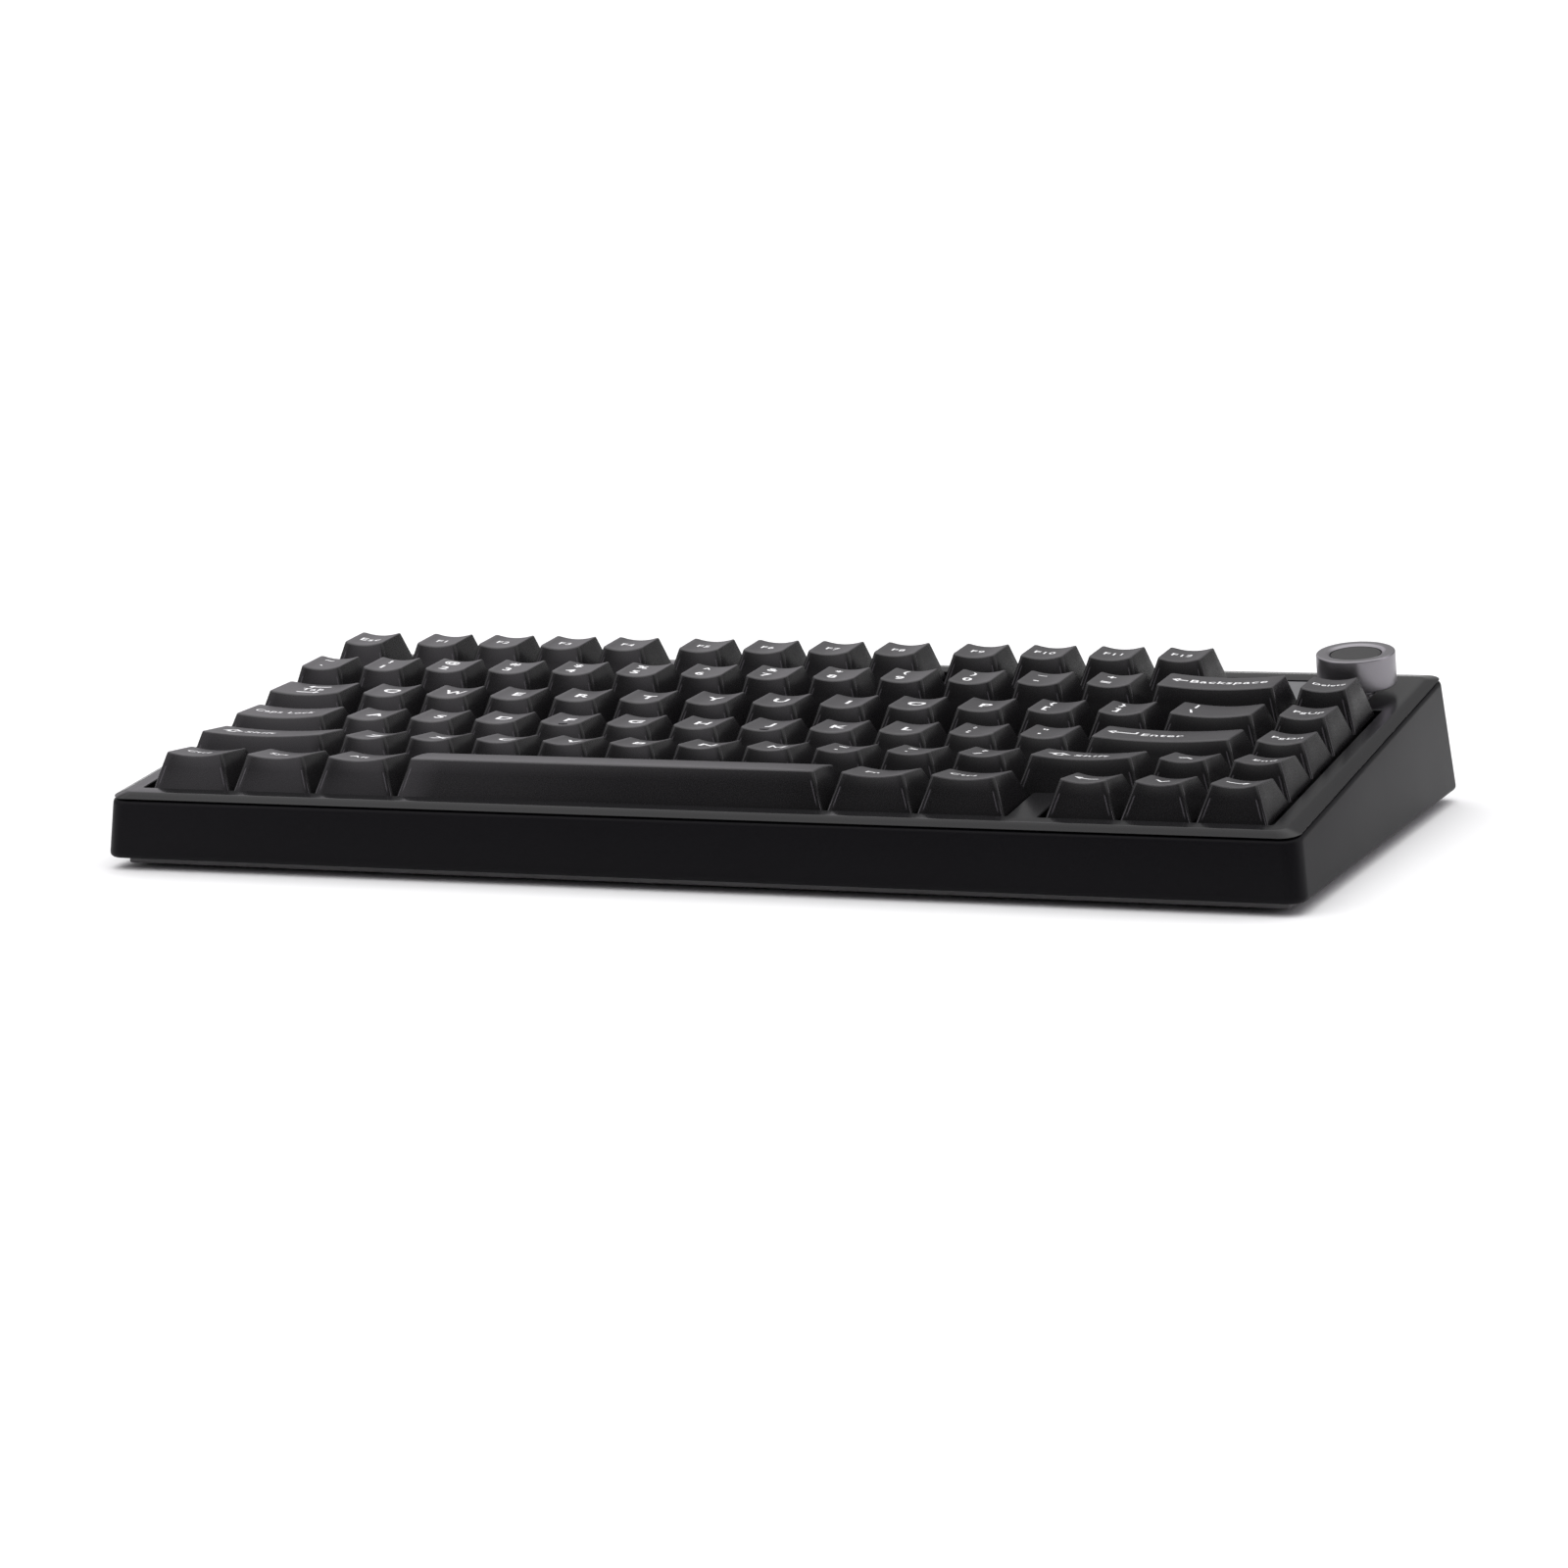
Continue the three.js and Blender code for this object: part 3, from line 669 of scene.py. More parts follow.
@dataclass(frozen=True)
class SkirtFinish(Finish):
    """A keycap's smooth skirt, with a light line inside the side edges of its front wall and a painted
    highlight along the edges themselves.
    """

    line_at: float = 1.3
    # Middle of the painted highlight band on the front wall's side edges, in millimetres from the edge.
    edge_highlight_at: float = 0.35
    line_half: float = 0.1
    line_soft: float = 0.12
    line_and_highlight_gain: float = 24.0
    line_weight: float = 0.5
    weight: float = 0.7
    line_rise: tuple[float, float] = (0.1, 0.3)
    line_fall: tuple[float, float] = (0.8, 0.88)

    def build(self) -> Bench:
        """Adds the light line and the painted edge highlight to the plain finish, from the cap's own UV
        map.

        Returns:
            The bench that holds the new material.
        """
        bench = super().build()
        across, up, _ = bench.split(bench.node("ShaderNodeUVMap", {"uv_map": "skirt"}))
        span = up.between(*self.line_rise) * (1 - up.between(*self.line_fall))
        line = self._line(across, self.line_at) * span * self.line_weight
        # The cap's own light line inside the edges, plus a painted highlight along the edges themselves.
        mask = line + self._line(across, self.edge_highlight_at)
        base = Wire(bench, bench.shader.inputs["Base Color"].links[0].from_socket)
        bright = lighter(self.colour, self.line_and_highlight_gain)
        bench.set(Base_Color=bench.mixed(mask * self.weight, base, bright))
        return bench

    def _line(self, across: Wire, at: float) -> Wire:
        """A thin soft band at one distance from the wall's side edge.

        Args:
            across: Distance from the edge in millimetres.
            at: Where the band's middle is.

        Returns:
            1 in the band and 0 outside it.
        """
        inner, outer = at - self.line_half, at + self.line_half
        soft = self.line_soft
        return across.between(inner - soft, inner) * (1 - across.between(outer, outer + soft))


@dataclass(frozen=True)
class TurnedFinish(Finish):
    """Machined metal with fine turning marks about the knob's axis."""

    rings_per_metre: float = 9000.0

    def build(self) -> Bench:
        """Adds turning marks to the plain finish's height.

        Returns:
            The bench that holds the new material.
        """
        bench = super().build()
        across, back = bench.deck_place()
        centre = TO_DECK.to_3x3() @ (TO_WORLD @ Vector((*DECK.knob, 0.0))) * MM
        du, dv = across - centre.x, back - centre.y
        radius = (du * du + dv * dv) ** 0.5
        marks = (radius * self.rings_per_metre).sine()
        fine = bench.noise(self.grain_per_metre, self.grain_roughness)
        bench.set(Normal=bench.bump(marks * 0.5 + fine, self.grain_strength, self.grain_depth))
        return bench


@dataclass(frozen=True)
class BoardFinish(Finish):
    """Solder mask over faint copper tracks."""

    tracks_per_metre: float = 260.0
    track_width: float = 0.06
    track_gain: float = 1.8
    track_strength: float = 0.3
    track_depth: float = 0.00005

    def build(self) -> Bench:
        """Adds tracks as a brick pattern under the mask.

        Returns:
            The bench that holds the new material.
        """
        bench = super().build()
        values = {
            "Vector": bench.place(),
            "Scale": self.tracks_per_metre,
            "Mortar Size": self.track_width,
        }
        tracks = bench.node("ShaderNodeTexBrick", None, values, "Fac")
        bench.set(
            Base_Color=bench.mixed(tracks, self.colour, lighter(self.colour, self.track_gain)),
            Normal=bench.bump(tracks, self.track_strength, self.track_depth),
        )
        return bench


TOP_FRAME = Finish(
    "top_frame_black", "top_frame", (0.0045, 0.0041, 0.0052), 0.2,
    grain_per_metre=5200.0, grain_strength=0.04, specular=0.22,
)
LOWER_SHELL = Finish(
    "lower_shell_black", "lower_shell", (0.0042, 0.0038, 0.005), 0.44,
    grain_per_metre=3400.0, grain_strength=0.5, drift=0.2, specular=0.09,
)
# The plinth is the same black plastic as the tub; its light grey is painted reflection of light bounced
# up from the floor.
PLINTH_PAINTED_BOUNCE = Finish("plinth_painted_bounce", "lower_shell", (0.13, 0.127, 0.132), 0.5, specular=0.3)
CAP_TOP = Finish(
    "keycap_top", "keycap", (0.026, 0.024, 0.0272), 0.43, grain_per_metre=4200.0, grain_strength=0.4
)
# The skirt is the same plastic as the top; its much darker colour is painted shade on front walls that
# face away from the light, while its higher gloss is real.
CAP_SKIRT = SkirtFinish(
    "keycap_skirt", "keycap", (0.0068, 0.0063, 0.0071), 0.27,
    grain_per_metre=2600.0, grain_strength=0.03, drift=0.08, specular=0.36,
)
LEGEND = Finish("legend_white", "legend", (0.88, 0.88, 0.89), 0.5, drift=0.02, grain_strength=0.1)
PANEL = Finish("panel_grey", "panel", (0.16, 0.16, 0.167), 0.3, 0.2, grain_strength=0.1)
PLATE = Finish("plate_black", "plate", (0.012, 0.012, 0.013), 0.5, 0.3, grain_strength=0.4)
SWITCH = Finish("switch_nylon", "switch_nylon", (0.01, 0.01, 0.011), 0.4, grain_strength=0.2)
FOAM = Finish(
    "foam_black", "foam", (0.018, 0.018, 0.019), 0.95,
    grain_per_metre=1500.0, grain_strength=0.9, grain_depth=0.0003,
)
BOARD = BoardFinish("board_green", "board", (0.012, 0.03, 0.02), 0.35)
STEEL = Finish("stamped_steel", "steel", (0.55, 0.55, 0.56), 0.3, 1.0, grain_strength=0.15)
KNOB_METAL = TurnedFinish(
    "knob_metal", "knob_metal", (0.225, 0.216, 0.232), 0.33, 0.9, grain_strength=0.3
)
KNOB_INLAY = TurnedFinish(
    "knob_inlay", "knob_inlay", (0.022, 0.0215, 0.022), 0.42, 0.1, specular=0.3
)
RUBBER = Finish(
    "foot_rubber", "rubber", (0.014, 0.014, 0.014), 0.8, grain_per_metre=1800.0, grain_strength=0.6
)
NYLON = Finish("nylon_black", "nylon", (0.014, 0.014, 0.015), 0.45, grain_strength=0.25)
WRAP = Finish("battery_wrap", "battery_wrap", (0.16, 0.2, 0.26), 0.4, grain_per_metre=900.0)


# ---------------------------------------------------------------- keys


class Row(Enum):
    """The rows: front edge v, top height at front and back, top inset at front and back."""

    BOTTOM = (0.0, 9.3, 6.85, 3.85, 1.2)
    SHIFT = (19.05, 9.3, 6.85, 3.75, 1.2)
    HOME = (38.1, 8.6, 7.3, 3.75, 1.2)
    UPPER = (57.15, 9.4, 8.5, 3.85, 1.6)
    NUMBER = (76.2, 11.0, 10.5, 3.9, 1.8)
    FUNCTION = (101.75, 10.6, 10.2, 4.4, 1.8)

    @property
    def front_v(self) -> float:
        """Where the row's cells start."""
        return self.value[0]

    @property
    def heights(self) -> tuple[float, float]:
        """Height of a top at its front and back edge."""
        return self.value[1:3]

    @property
    def insets(self) -> tuple[float, float]:
        """How far a top is set in at the front and back."""
        return self.value[3:]


class Mark(Enum):
    """Drawn legends: strokes of (x, y) points in millimetres.

    A stroke that ends where it starts is closed.
    """

    ARROW_LEFT = [[(2.8, 0.0), (-2.0, 0.0)], [(-1.5, 1.0), (-2.8, 0.0), (-1.5, -1.0)]]
    ARROW_RIGHT = [[(-2.8, 0.0), (2.0, 0.0)], [(1.5, 1.0), (2.8, 0.0), (1.5, -1.0)]]
    LETTER_M = [[(-1.75, -1.75), (-1.75, 1.75), (0.0, -0.7), (1.75, 1.75), (1.75, -1.75)]]
    CHEVRON_UP = [[(-1.6, -1.0), (0.0, 0.9), (1.6, -1.0)]]
    CHEVRON_DOWN = [[(-1.6, 1.0), (0.0, -0.9), (1.6, 1.0)]]
    ERASE = [[(1.8, 0.0), (-0.8, 0.0)], [(-0.5, 1.1), (-1.9, 0.0), (-0.5, -1.1)]]
    RETURN = [[(3.4, 1.7), (3.4, 0.0), (-2.2, 0.0)], [(-2.0, 1.1), (-3.5, 0.0), (-2.0, -1.1)]]
    SHIFT = [
        [
            (0.0, 1.9),
            (-2.3, -0.1),
            (-0.9, -0.1),
            (-0.9, -1.7),
            (0.9, -1.7),
            (0.9, -0.1),
            (2.3, -0.1),
            (0.0, 1.9),
        ]
    ]
    TAB_BACK = [[(3.4, 0.0), (-2.4, 0.0)], [(-2.0, 0.8), (-3.0, 0.0), (-2.0, -0.8)]]
    TAB_ON = [[(-3.4, 0.0), (2.4, 0.0)], [(2.0, 0.8), (3.0, 0.0), (2.0, -0.8)]]


@dataclass(frozen=True)
class Legend:
    """One text or mark on a keycap."""

    content: Union[str, Mark]
    size: float
    at: tuple[float, float]


@dataclass(frozen=True)
class CapShape:
    """Sizes that every keycap shares.

    A turn is the ring between wall and top, a band is one of the wall's or the top's own rings,
    and a homing bar's layers are each a growth and a height off the top.
    """

    gap: float = 0.89
    side_slope: float = 3.2
    base_radius: float = 0.5
    top_radius: float = 0.95
    edge: float = 0.34
    dish: float = 1.0
    wall: float = 1.5
    crown: float = 1.6
    stem_radius: float = 2.65
    stem_bottom: float = -2.0
    arc_steps: int = 5
    long_steps: int = 12
    short_steps: int = 4
    bar_width: float = 5.0
    bar_crown: float = 0.5
    turn_sides: float = 0.27
    turn_crest: float = 0.46
    wall_bands: tuple[float, ...] = (0.33, 0.66)
    top_bands: tuple[float, ...] = (0.82, 0.6, 0.38, 0.16)
    ceiling_radius: float = 0.6
    mouth_radius: float = 0.5
    front_depth: float = 4.6
    level_miss: float = 0.05
    off_wall: float = 9.0
    stem_sides: int = 16
    homing_half: tuple[float, float] = (1.25, 0.35)
    homing_inset: float = 1.5
    homing_radius: float = 0.2
    homing_layers: tuple[tuple[float, float], ...] = ((0.0, -0.3), (0.0, 0.2), (-0.12, 0.34))

    @property
    def half_depth(self) -> float:
        """Half of the front-to-back size of a cap's base."""
        return (DECK.pitch - self.gap) / 2


SHAPE = CapShape()


@dataclass(frozen=True)
class Key:
    """One keycap: where it is, the CAD node it belongs to and what it says."""

    name: str
    node: str
    row: Row
    left: float
    width: float
    legends: tuple[Legend, ...] = ()
    shift: float = 0.0
    homing: bool = False

    @property
    def centre(self) -> tuple[float, float]:
        """Middle of the key's cell on the deck."""
        u = (self.left + self.width / 2) * DECK.pitch + self.shift
        return u, self.row.front_v + DECK.pitch / 2

    @property
    def half_width(self) -> float:
        """Half of the width of the cap's base."""
        return (self.width * DECK.pitch - SHAPE.gap) / 2

    @property
    def is_bar(self) -> bool:
        """Whether the top is a crowned bar and not a dish."""
        return self.width > SHAPE.bar_width

    def outline(self, side: float, front: float, back: float, radius: float) -> Outline:
        """The cap's outline in its own millimetres, inset from its base.

        Args:
            side: Inset at the left and right.
            front: Inset at the front.
            back: Inset at the back.
            radius: Corner radius.

        Returns:
            Points anticlockwise from the front right corner.
        """
        half_x = self.half_width - side
        low, high = -SHAPE.half_depth + front, SHAPE.half_depth - back
        centres = [
            (half_x - radius, low + radius),
            (half_x - radius, high - radius),
            (-half_x + radius, high - radius),
            (-half_x + radius, low + radius),
        ]
        corners = []
        for quarter, (x, y) in enumerate(centres):
            angles = [
                math.pi / 2 * (quarter - 1 + step / SHAPE.arc_steps)
                for step in range(SHAPE.arc_steps + 1)
            ]
            corners.append([(x + radius * math.cos(a), y + radius * math.sin(a)) for a in angles])
        points = []
        for quarter, corner in enumerate(corners):
            points += corner
            start, end = Vector(corner[-1]), Vector(corners[(quarter + 1) % 4][0])
            steps = SHAPE.short_steps if quarter in (0, 2) else SHAPE.long_steps
            points += [tuple(start.lerp(end, i / steps)) for i in range(1, steps)]
        return points

    def top_height(self, x: float, y: float) -> float:
        """Height of the top.

        Args:
            x: Place to the right of the cap's middle.
            y: Place behind it.

        Returns:
            The deck level there.
        """
        front, back = self.row.heights
        inset_front, inset_back = self.row.insets
        low, high = -SHAPE.half_depth + inset_front, SHAPE.half_depth - inset_back
        share = (y - low) / (high - low)
        plane = front + (back - front) * share
        if self.is_bar:
            return plane + SHAPE.bar_crown * (1 - (2 * share - 1) ** 2)
        half_x = self.half_width - SHAPE.side_slope
        return plane - SHAPE.dish * max(1 - (x / half_x) ** 2, 0.0)

    def to_world(self, x: float, y: float, w: float) -> Vector:
        """A point of the cap in world metres."""
        u, v = self.centre
        return TO_WORLD @ Vector((u + x, v + y, w))


class KeyCap:
    """Builds one keycap's mesh and its legends."""

    def __init__(self, key: Key) -> None:
        """Keeps the key, the insets of its top and the middle between them.

        Args:
            key: The key.
        """
        self.key = key
        self.front, self.back = key.row.insets
        self.middle_y = (self.front - self.back) / 2

    def _lifted(self, outline: Outline) -> list[Point]:
        """An outline laid on the cap's top."""
        return [(x, y, self.key.top_height(x, y)) for x, y in outline]

    def outer_rings(self) -> list[list[Point]]:
        """Rings from the rim to the middle of the top, with a soft edge between.

        Returns:
            The rings: base, wall bands, shoulder, turn, and the top's rings inwards.
        """
        key, edge, slope = self.key, SHAPE.edge, SHAPE.side_slope
        base = [(x, y, 0.0) for x, y in key.outline(0, 0, 0, SHAPE.base_radius)]
        crest = self._lifted(key.outline(slope, self.front, self.back, SHAPE.top_radius))
        inner = key.outline(
            slope + edge, self.front + edge, self.back + edge, SHAPE.top_radius - edge
        )
        inside = self._lifted(inner)
        shoulder = []
        for low, high in zip(base, crest):
            share = 1 - edge / high[2]
            shoulder.append(tuple(a + (b - a) * share for a, b in zip(low, high)))
        side, mid = SHAPE.turn_sides, SHAPE.turn_crest
        turn = [
            tuple(side * a + mid * b + side * c for a, b, c in zip(*points))
            for points in zip(shoulder, crest, inside)
        ]
        rings = [base]
        for share in SHAPE.wall_bands:
            rings.append(
                [tuple(a + (b - a) * share for a, b in zip(p, q)) for p, q in zip(base, shoulder)]
            )
        rings += [shoulder, turn, inside]
        for share in SHAPE.top_bands:
            flat = [(x * share, self.middle_y + (y - self.middle_y) * share) for x, y in inner]
            rings.append(self._lifted(flat))
        return rings

    def inner_rings(self) -> list[list[Point]]:
        """Rings of the hollow.

        Returns:
            Its ceiling, then its mouth at the rim.
        """
        wall = SHAPE.wall
        ceiling = self.key.outline(
            SHAPE.side_slope + wall, self.front + wall, self.back + wall, SHAPE.ceiling_radius
        )
        mouth = self.key.outline(wall, wall, wall, SHAPE.mouth_radius)
        top = [(x, y, self.key.top_height(0.0, y) - SHAPE.crown) for x, y in ceiling]
        return [top, [(x, y, 0.0) for x, y in mouth]]

    def mesh_object(self) -> bpy.types.Object:
        """The cap as one object, skirt and top in their own finishes.

        Returns:
            The object, with a UV map that runs across and up its front wall.
        """
        bm = bmesh.new()
        hollow = self.inner_rings()
        rings = hollow + self.outer_rings()
        first_wall = len(hollow)
        first_top = first_wall + len(SHAPE.wall_bands) + 1
        loops = [[bm.verts.new(self.key.to_world(*p)) for p in ring] for ring in rings]
        layer = bm.loops.layers.uv.new("skirt")
        count = len(loops[0])
        bm.faces.new(loops[0])
        for index, (low, high) in enumerate(zip(loops, loops[1:])):
            for i in range(count):
                j = (i + 1) % count
                face = bm.faces.new((low[i], low[j], high[j], high[i]))
                if index >= first_top:
                    face.material_index = 1
                elif index >= first_wall:
                    self._map_wall(face, layer, rings, index, i)
        bm.faces.new(loops[-1]).material_index = 1
        self._stem(bm)
        if self.key.homing:
            self._homing_bar(bm)
        piece = object_from(bm, f"cap_{self.key.name}", 38.0)
        piece.data.materials.append(CAP_SKIRT.material())
        piece.data.materials.append(CAP_TOP.material())
        return piece

    def _map_wall(
        self,
        face: bmesh.types.BMFace,
        layer: bmesh.types.BMLayerItem,
        rings: Sequence[Sequence[Point]],
        index: int,
        i: int,
    ) -> None:
        """Writes a wall face's distance from the side edge and its share of the height.

        Args:
            face: The face.
            layer: The UV map. Off the front wall the distance is a large one.
            rings: All the cap's rings.
            index: Which ring the face stands on.
            i: Which point of the ring it starts from.
        """
        j = (i + 1) % len(rings[index])
        full = min(point[2] for point in rings[-1])
        is_level = abs(rings[index][i][1] - rings[index][j][1]) < SHAPE.level_miss
        corners = [(index, i), (index, j), (index + 1, j), (index + 1, i)]
        for loop, (ring, at) in zip(face.loops, corners):
            x, y, z = rings[ring][at]
            widest = max(point[0] for point in rings[ring])
            is_front = y < -SHAPE.half_depth + SHAPE.front_depth and rings[ring][i][1] < 0
            across = widest - abs(x) if is_front and is_level else SHAPE.off_wall
            loop[layer].uv = (across, z / full)

    def _stem(self, bm: bmesh.types.BMesh) -> None:
        """Adds the post under the middle of the cap.

        Args:
            bm: The cap's mesh.
        """
        outline = circle(0, 0, SHAPE.stem_radius, SHAPE.stem_sides)
        levels = (SHAPE.stem_bottom, self.key.top_height(0, 0) - SHAPE.crown / 2)
        skin(bm, [[self.key.to_world(x, y, w) for x, y in outline] for w in levels])

    def _homing_bar(self, bm: bmesh.types.BMesh) -> None:
        """Adds the small raised bar near the front of a home key.

        Args:
            bm: The cap's mesh.
        """
        middle = -SHAPE.half_depth + self.front + SHAPE.homing_inset
        level = self.key.top_height(0, middle)
        half_x, half_y = SHAPE.homing_half
        layers = []
        for grow, lift in SHAPE.homing_layers:
            low, high = middle - half_y - grow, middle + half_y + grow
            flat = rectangle(-half_x - grow, half_x + grow, low, high)
            outline = rounded(flat, SHAPE.homing_radius)
            layers.append([self.key.to_world(x, y, level + lift) for x, y in outline])
        before = len(bm.faces)
        skin(bm, layers)
        bm.faces.ensure_lookup_table()
        for face in bm.faces[before:]:
            face.material_index = 1

    def legend_object(self) -> Optional[bpy.types.Object]:
        """All legends of the cap as one thin inlay that follows the top.

        Returns:
            The inlay, or None for a plain cap.
        """
        if not self.key.legends:
            return None
        bm = bmesh.new()
        for legend in self.key.legends:
            draw = mark_mesh if isinstance(legend.content, Mark) else text_mesh
            flat = draw(legend.content, legend.size)
            flat.transform(Matrix.Translation((*legend.at, 0.0)))
            bm.from_mesh(flat)
            bpy.data.meshes.remove(flat)
        reach = self.key.width * DECK.pitch / 2
        cut = -reach
        while cut < reach:
            geometry = bm.verts[:] + bm.edges[:] + bm.faces[:]
            bmesh.ops.bisect_plane(bm, geom=geometry, plane_co=(cut, 0, 0), plane_no=(1, 0, 0))
            cut += INLAY_STRIP
        for vert in bm.verts:
            x, y, lift = vert.co
            y += self.middle_y
            height = self.key.top_height(x, y) + (INLAY_TOP if lift > 0 else INLAY_BOTTOM)
            vert.co = self.key.to_world(x, y, height)
        piece = object_from(bm, f"legend_{self.key.name}", 30.0)
        LEGEND.dress(piece)
        return piece


TEXT_STRETCH = 1.3
LETTER_WIDEST = 1.28
TEXT_WEIGHT = 0.022
WORD_WEIGHT = 0.012
WORD_SPACING = 1.12
CURVE_STEPS = 3
INLAY_HALF = 0.05
INLAY_TOP = 0.035
INLAY_BOTTOM = -0.08
INLAY_STRIP = 0.9
LEAST_MITRE = 0.4


def text_mesh(body: str, size: float) -> bpy.types.Mesh:
    """A word as a thin solid centred on the origin, in millimetres.

    Args:
        body: What it says.
        size: Letter size.

    Returns:
        The mesh.
    """
    curve = bpy.data.curves.new("word", "FONT")
    curve.body = body
    curve.size = size
    curve.offset = (TEXT_WEIGHT if len(body) == 1 else WORD_WEIGHT) * size
    curve.space_character = WORD_SPACING
    curve.extrude = INLAY_HALF
    curve.resolution_u = CURVE_STEPS
    curve.align_x = "CENTER"
    writer = linked("word", curve)
    graph = bpy.context.evaluated_depsgraph_get()
    mesh = bpy.data.meshes.new_from_object(writer.evaluated_get(graph))
    bpy.data.objects.remove(writer)
    bpy.data.curves.remove(curve)
    ys = [vertex.co.y for vertex in mesh.vertices]
    xs = [vertex.co.x for vertex in mesh.vertices]
    centre = Vector(((min(xs) + max(xs)) / 2, (min(ys) + max(ys)) / 2, 0.0))
    stretch = TEXT_STRETCH
    if len(body) == 1:
        stretch = min(stretch, LETTER_WIDEST * size / (max(xs) - min(xs)))
    mesh.transform(Matrix.Diagonal((stretch, 1, 1, 1)) @ Matrix.Translation(-centre))
    return mesh


def mark_mesh(mark: Mark, weight: float) -> bpy.types.Mesh:
    """A drawn mark as thin solids, in millimetres.

    Args:
        mark: Which mark.
        weight: Stroke width.

    Returns:
        The mesh.
    """
    bm = bmesh.new()
    for stroke in mark.value:
        points = [Vector(point) for point in stroke]
        closed = stroke[0] == stroke[-1]
        if closed:
            points = points[:-1]
        sides = []
        count = len(points)
        for i, point in enumerate(points):
            before = points[i - 1] if closed or i else point
            after = points[(i + 1) % count] if closed or i < count - 1 else point
            into = (point - before).normalized() if before != point else None
            out = (after - point).normalized() if after != point else None
            way = ((into or out) + (out or into)).normalized()
            normal = Vector((-way.y, way.x))
            straight = Vector((-(out or into).y, (out or into).x))
            reach = weight / 2 / max(normal.dot(straight), LEAST_MITRE)
            sides.append((point + normal * reach, point - normal * reach))
        columns = [
            [
                bm.verts.new((*left, INLAY_HALF)),
                bm.verts.new((*left, -INLAY_HALF)),
                bm.verts.new((*right, -INLAY_HALF)),
                bm.verts.new((*right, INLAY_HALF)),
            ]
            for left, right in sides
        ]
        pairs = list(zip(columns, columns[1:]))
        if closed:
            pairs.append((columns[-1], columns[0]))
        else:
            bm.faces.new(columns[0])
            bm.faces.new(columns[-1][::-1])
        for low, high in pairs:
            for i in range(4):
                j = (i + 1) % 4
                bm.faces.new((low[i], high[i], high[j], low[j]))
    bmesh.ops.recalc_face_normals(bm, faces=bm.faces)
    mesh = bpy.data.meshes.new("mark")
    bm.to_mesh(mesh)
    bm.free()
    return mesh


@dataclass
class KeyBank:
    """All the keys, laid out row by row."""

    letter_size: float = 4.85
    digit_size: float = 3.9
    sign_size: float = 3.4
    word_size: float = 2.9
    wide_size: float = 3.5
    stroke: float = 0.62
    pair_offset: float = 2.6
    pair_lift: float = 0.6
    letter_at: tuple[float, float] = (-0.4, 0.3)
    columns: tuple[str, ...] = tuple("1234567890") + ("minus", "equals")
    keys: list[Key] = field(default_factory=list)

    def _word(
        self, text: str, at: tuple[float, float] = (0.0, 0.0), size: Optional[float] = None
    ) -> Legend:
        """A word, in the usual size unless another is given."""
        return Legend(text, size or self.word_size, at)

    def _mark(self, mark: Mark, at: tuple[float, float] = (0.0, 0.0)) -> Legend:
        """A drawn mark."""
        return Legend(mark, self.stroke, at)

    def _pair(self, low: str, high: str, left: float = 2.4) -> tuple[Legend, ...]:
        """A digit or sign with its shifted sign behind it.

        Args:
            low: The digit or sign in front.
            high: The sign behind it.
            left: How far left of the middle they are.

        Returns:
            The two legends.
        """
        return (
            Legend(low, self.digit_size, (-left, self.pair_lift - self.pair_offset)),
            Legend(high, self.sign_size, (-left, self.pair_lift + self.pair_offset)),
        )

    def _add(
        self,
        name: str,
        node: str,
        row: Row,
        left: float,
        width: float,
        *legends: Legend,
        **more: Any,
    ) -> None:
        """Adds one key.

        Args:
            name: The keycap's own name.
            node: The CAD node it belongs to, without its first word.
            row: Its row.
            left: Where its cell starts, in key pitches.
            width: How wide its cell is, in key pitches.
            legends: What it says.
            more: Other fields of the key.
        """
        self.keys.append(Key(name, f"key_{node}", row, left, width, tuple(legends), **more))

    def lay_out(self) -> None:
        """Lists the keys of every row from left to right."""
        self._function_row()
        self._number_row()
        self._letter_rows()
        self._bottom_row()

    def _function_row(self) -> None:
        """Escape, then the function keys in fours."""
        self._add("esc", "escape", Row.FUNCTION, 0, 1, self._word("Esc", (-0.6, 0.0), 3.4))
        for number in range(1, 13):
            group = (number - 1) // 4
            node = f"functions_{4 * group + 1}_to_{4 * group + 4}"
            shift = (group + 1) * DECK.function_group_gap
            legend = self._word(f"F{number}", (-1.0, 0.0))
            self._add(f"f{number}", node, Row.FUNCTION, number, 1, legend, shift=shift)

    def _number_row(self) -> None:
        """Digits and signs, backspace and delete."""
        nodes = ("1",) + self.columns
        for left, (low, high) in enumerate(zip("`1234567890-=", "~!@#$%^&*()_+")):
            node = f"column_{nodes[left]}"
            pair = self._pair(low, high, 2.0)
            self._add(f"number_{left}", node, Row.NUMBER, left, 1, *pair)
        text = self._word("Backspace", (2.0, 0.0), self.wide_size)
        erase = (self._mark(Mark.ERASE, (-10.9, 0.4)), text)
        self._add("backspace", "backspace", Row.NUMBER, 13, 2, *erase)
        self._add("delete", "delete", Row.NUMBER, 15, 1, self._word("Delete", size=2.25))

    def _letters(self, row: Row, start: float, letters: str) -> None:
        """A run of letter keys.

        Args:
            row: Their row.
            start: Where the first cell starts, in key pitches.
            letters: The letters from left to right.
        """
        for i, letter in enumerate(letters):
            name = f"letter_{letter.lower()}"
            legend = Legend(letter, self.letter_size, self.letter_at)
            if letter == "M":
                legend = self._mark(Mark.LETTER_M, self.letter_at)
            node = f"column_{self.columns[i]}"
            self._add(name, node, row, start + i, 1, legend, homing=letter in "FJ")

    def _signs(self, row: Row, start: float, first: int, pairs: Sequence[tuple[str, str]]) -> None:
        """A run of keys with two signs each.

        Args:
            row: Their row.
            start: Where the first cell starts, in key pitches.
            first: The first key's place in the list of columns.
            pairs: Each key's sign, and its shifted sign.
        """
        for i, (low, high) in enumerate(pairs):
            node = f"column_{self.columns[first + i]}"
            name = f"sign_{row.name.lower()}_{i}"
            self._add(name, node, row, start + i, 1, *self._pair(low, high))

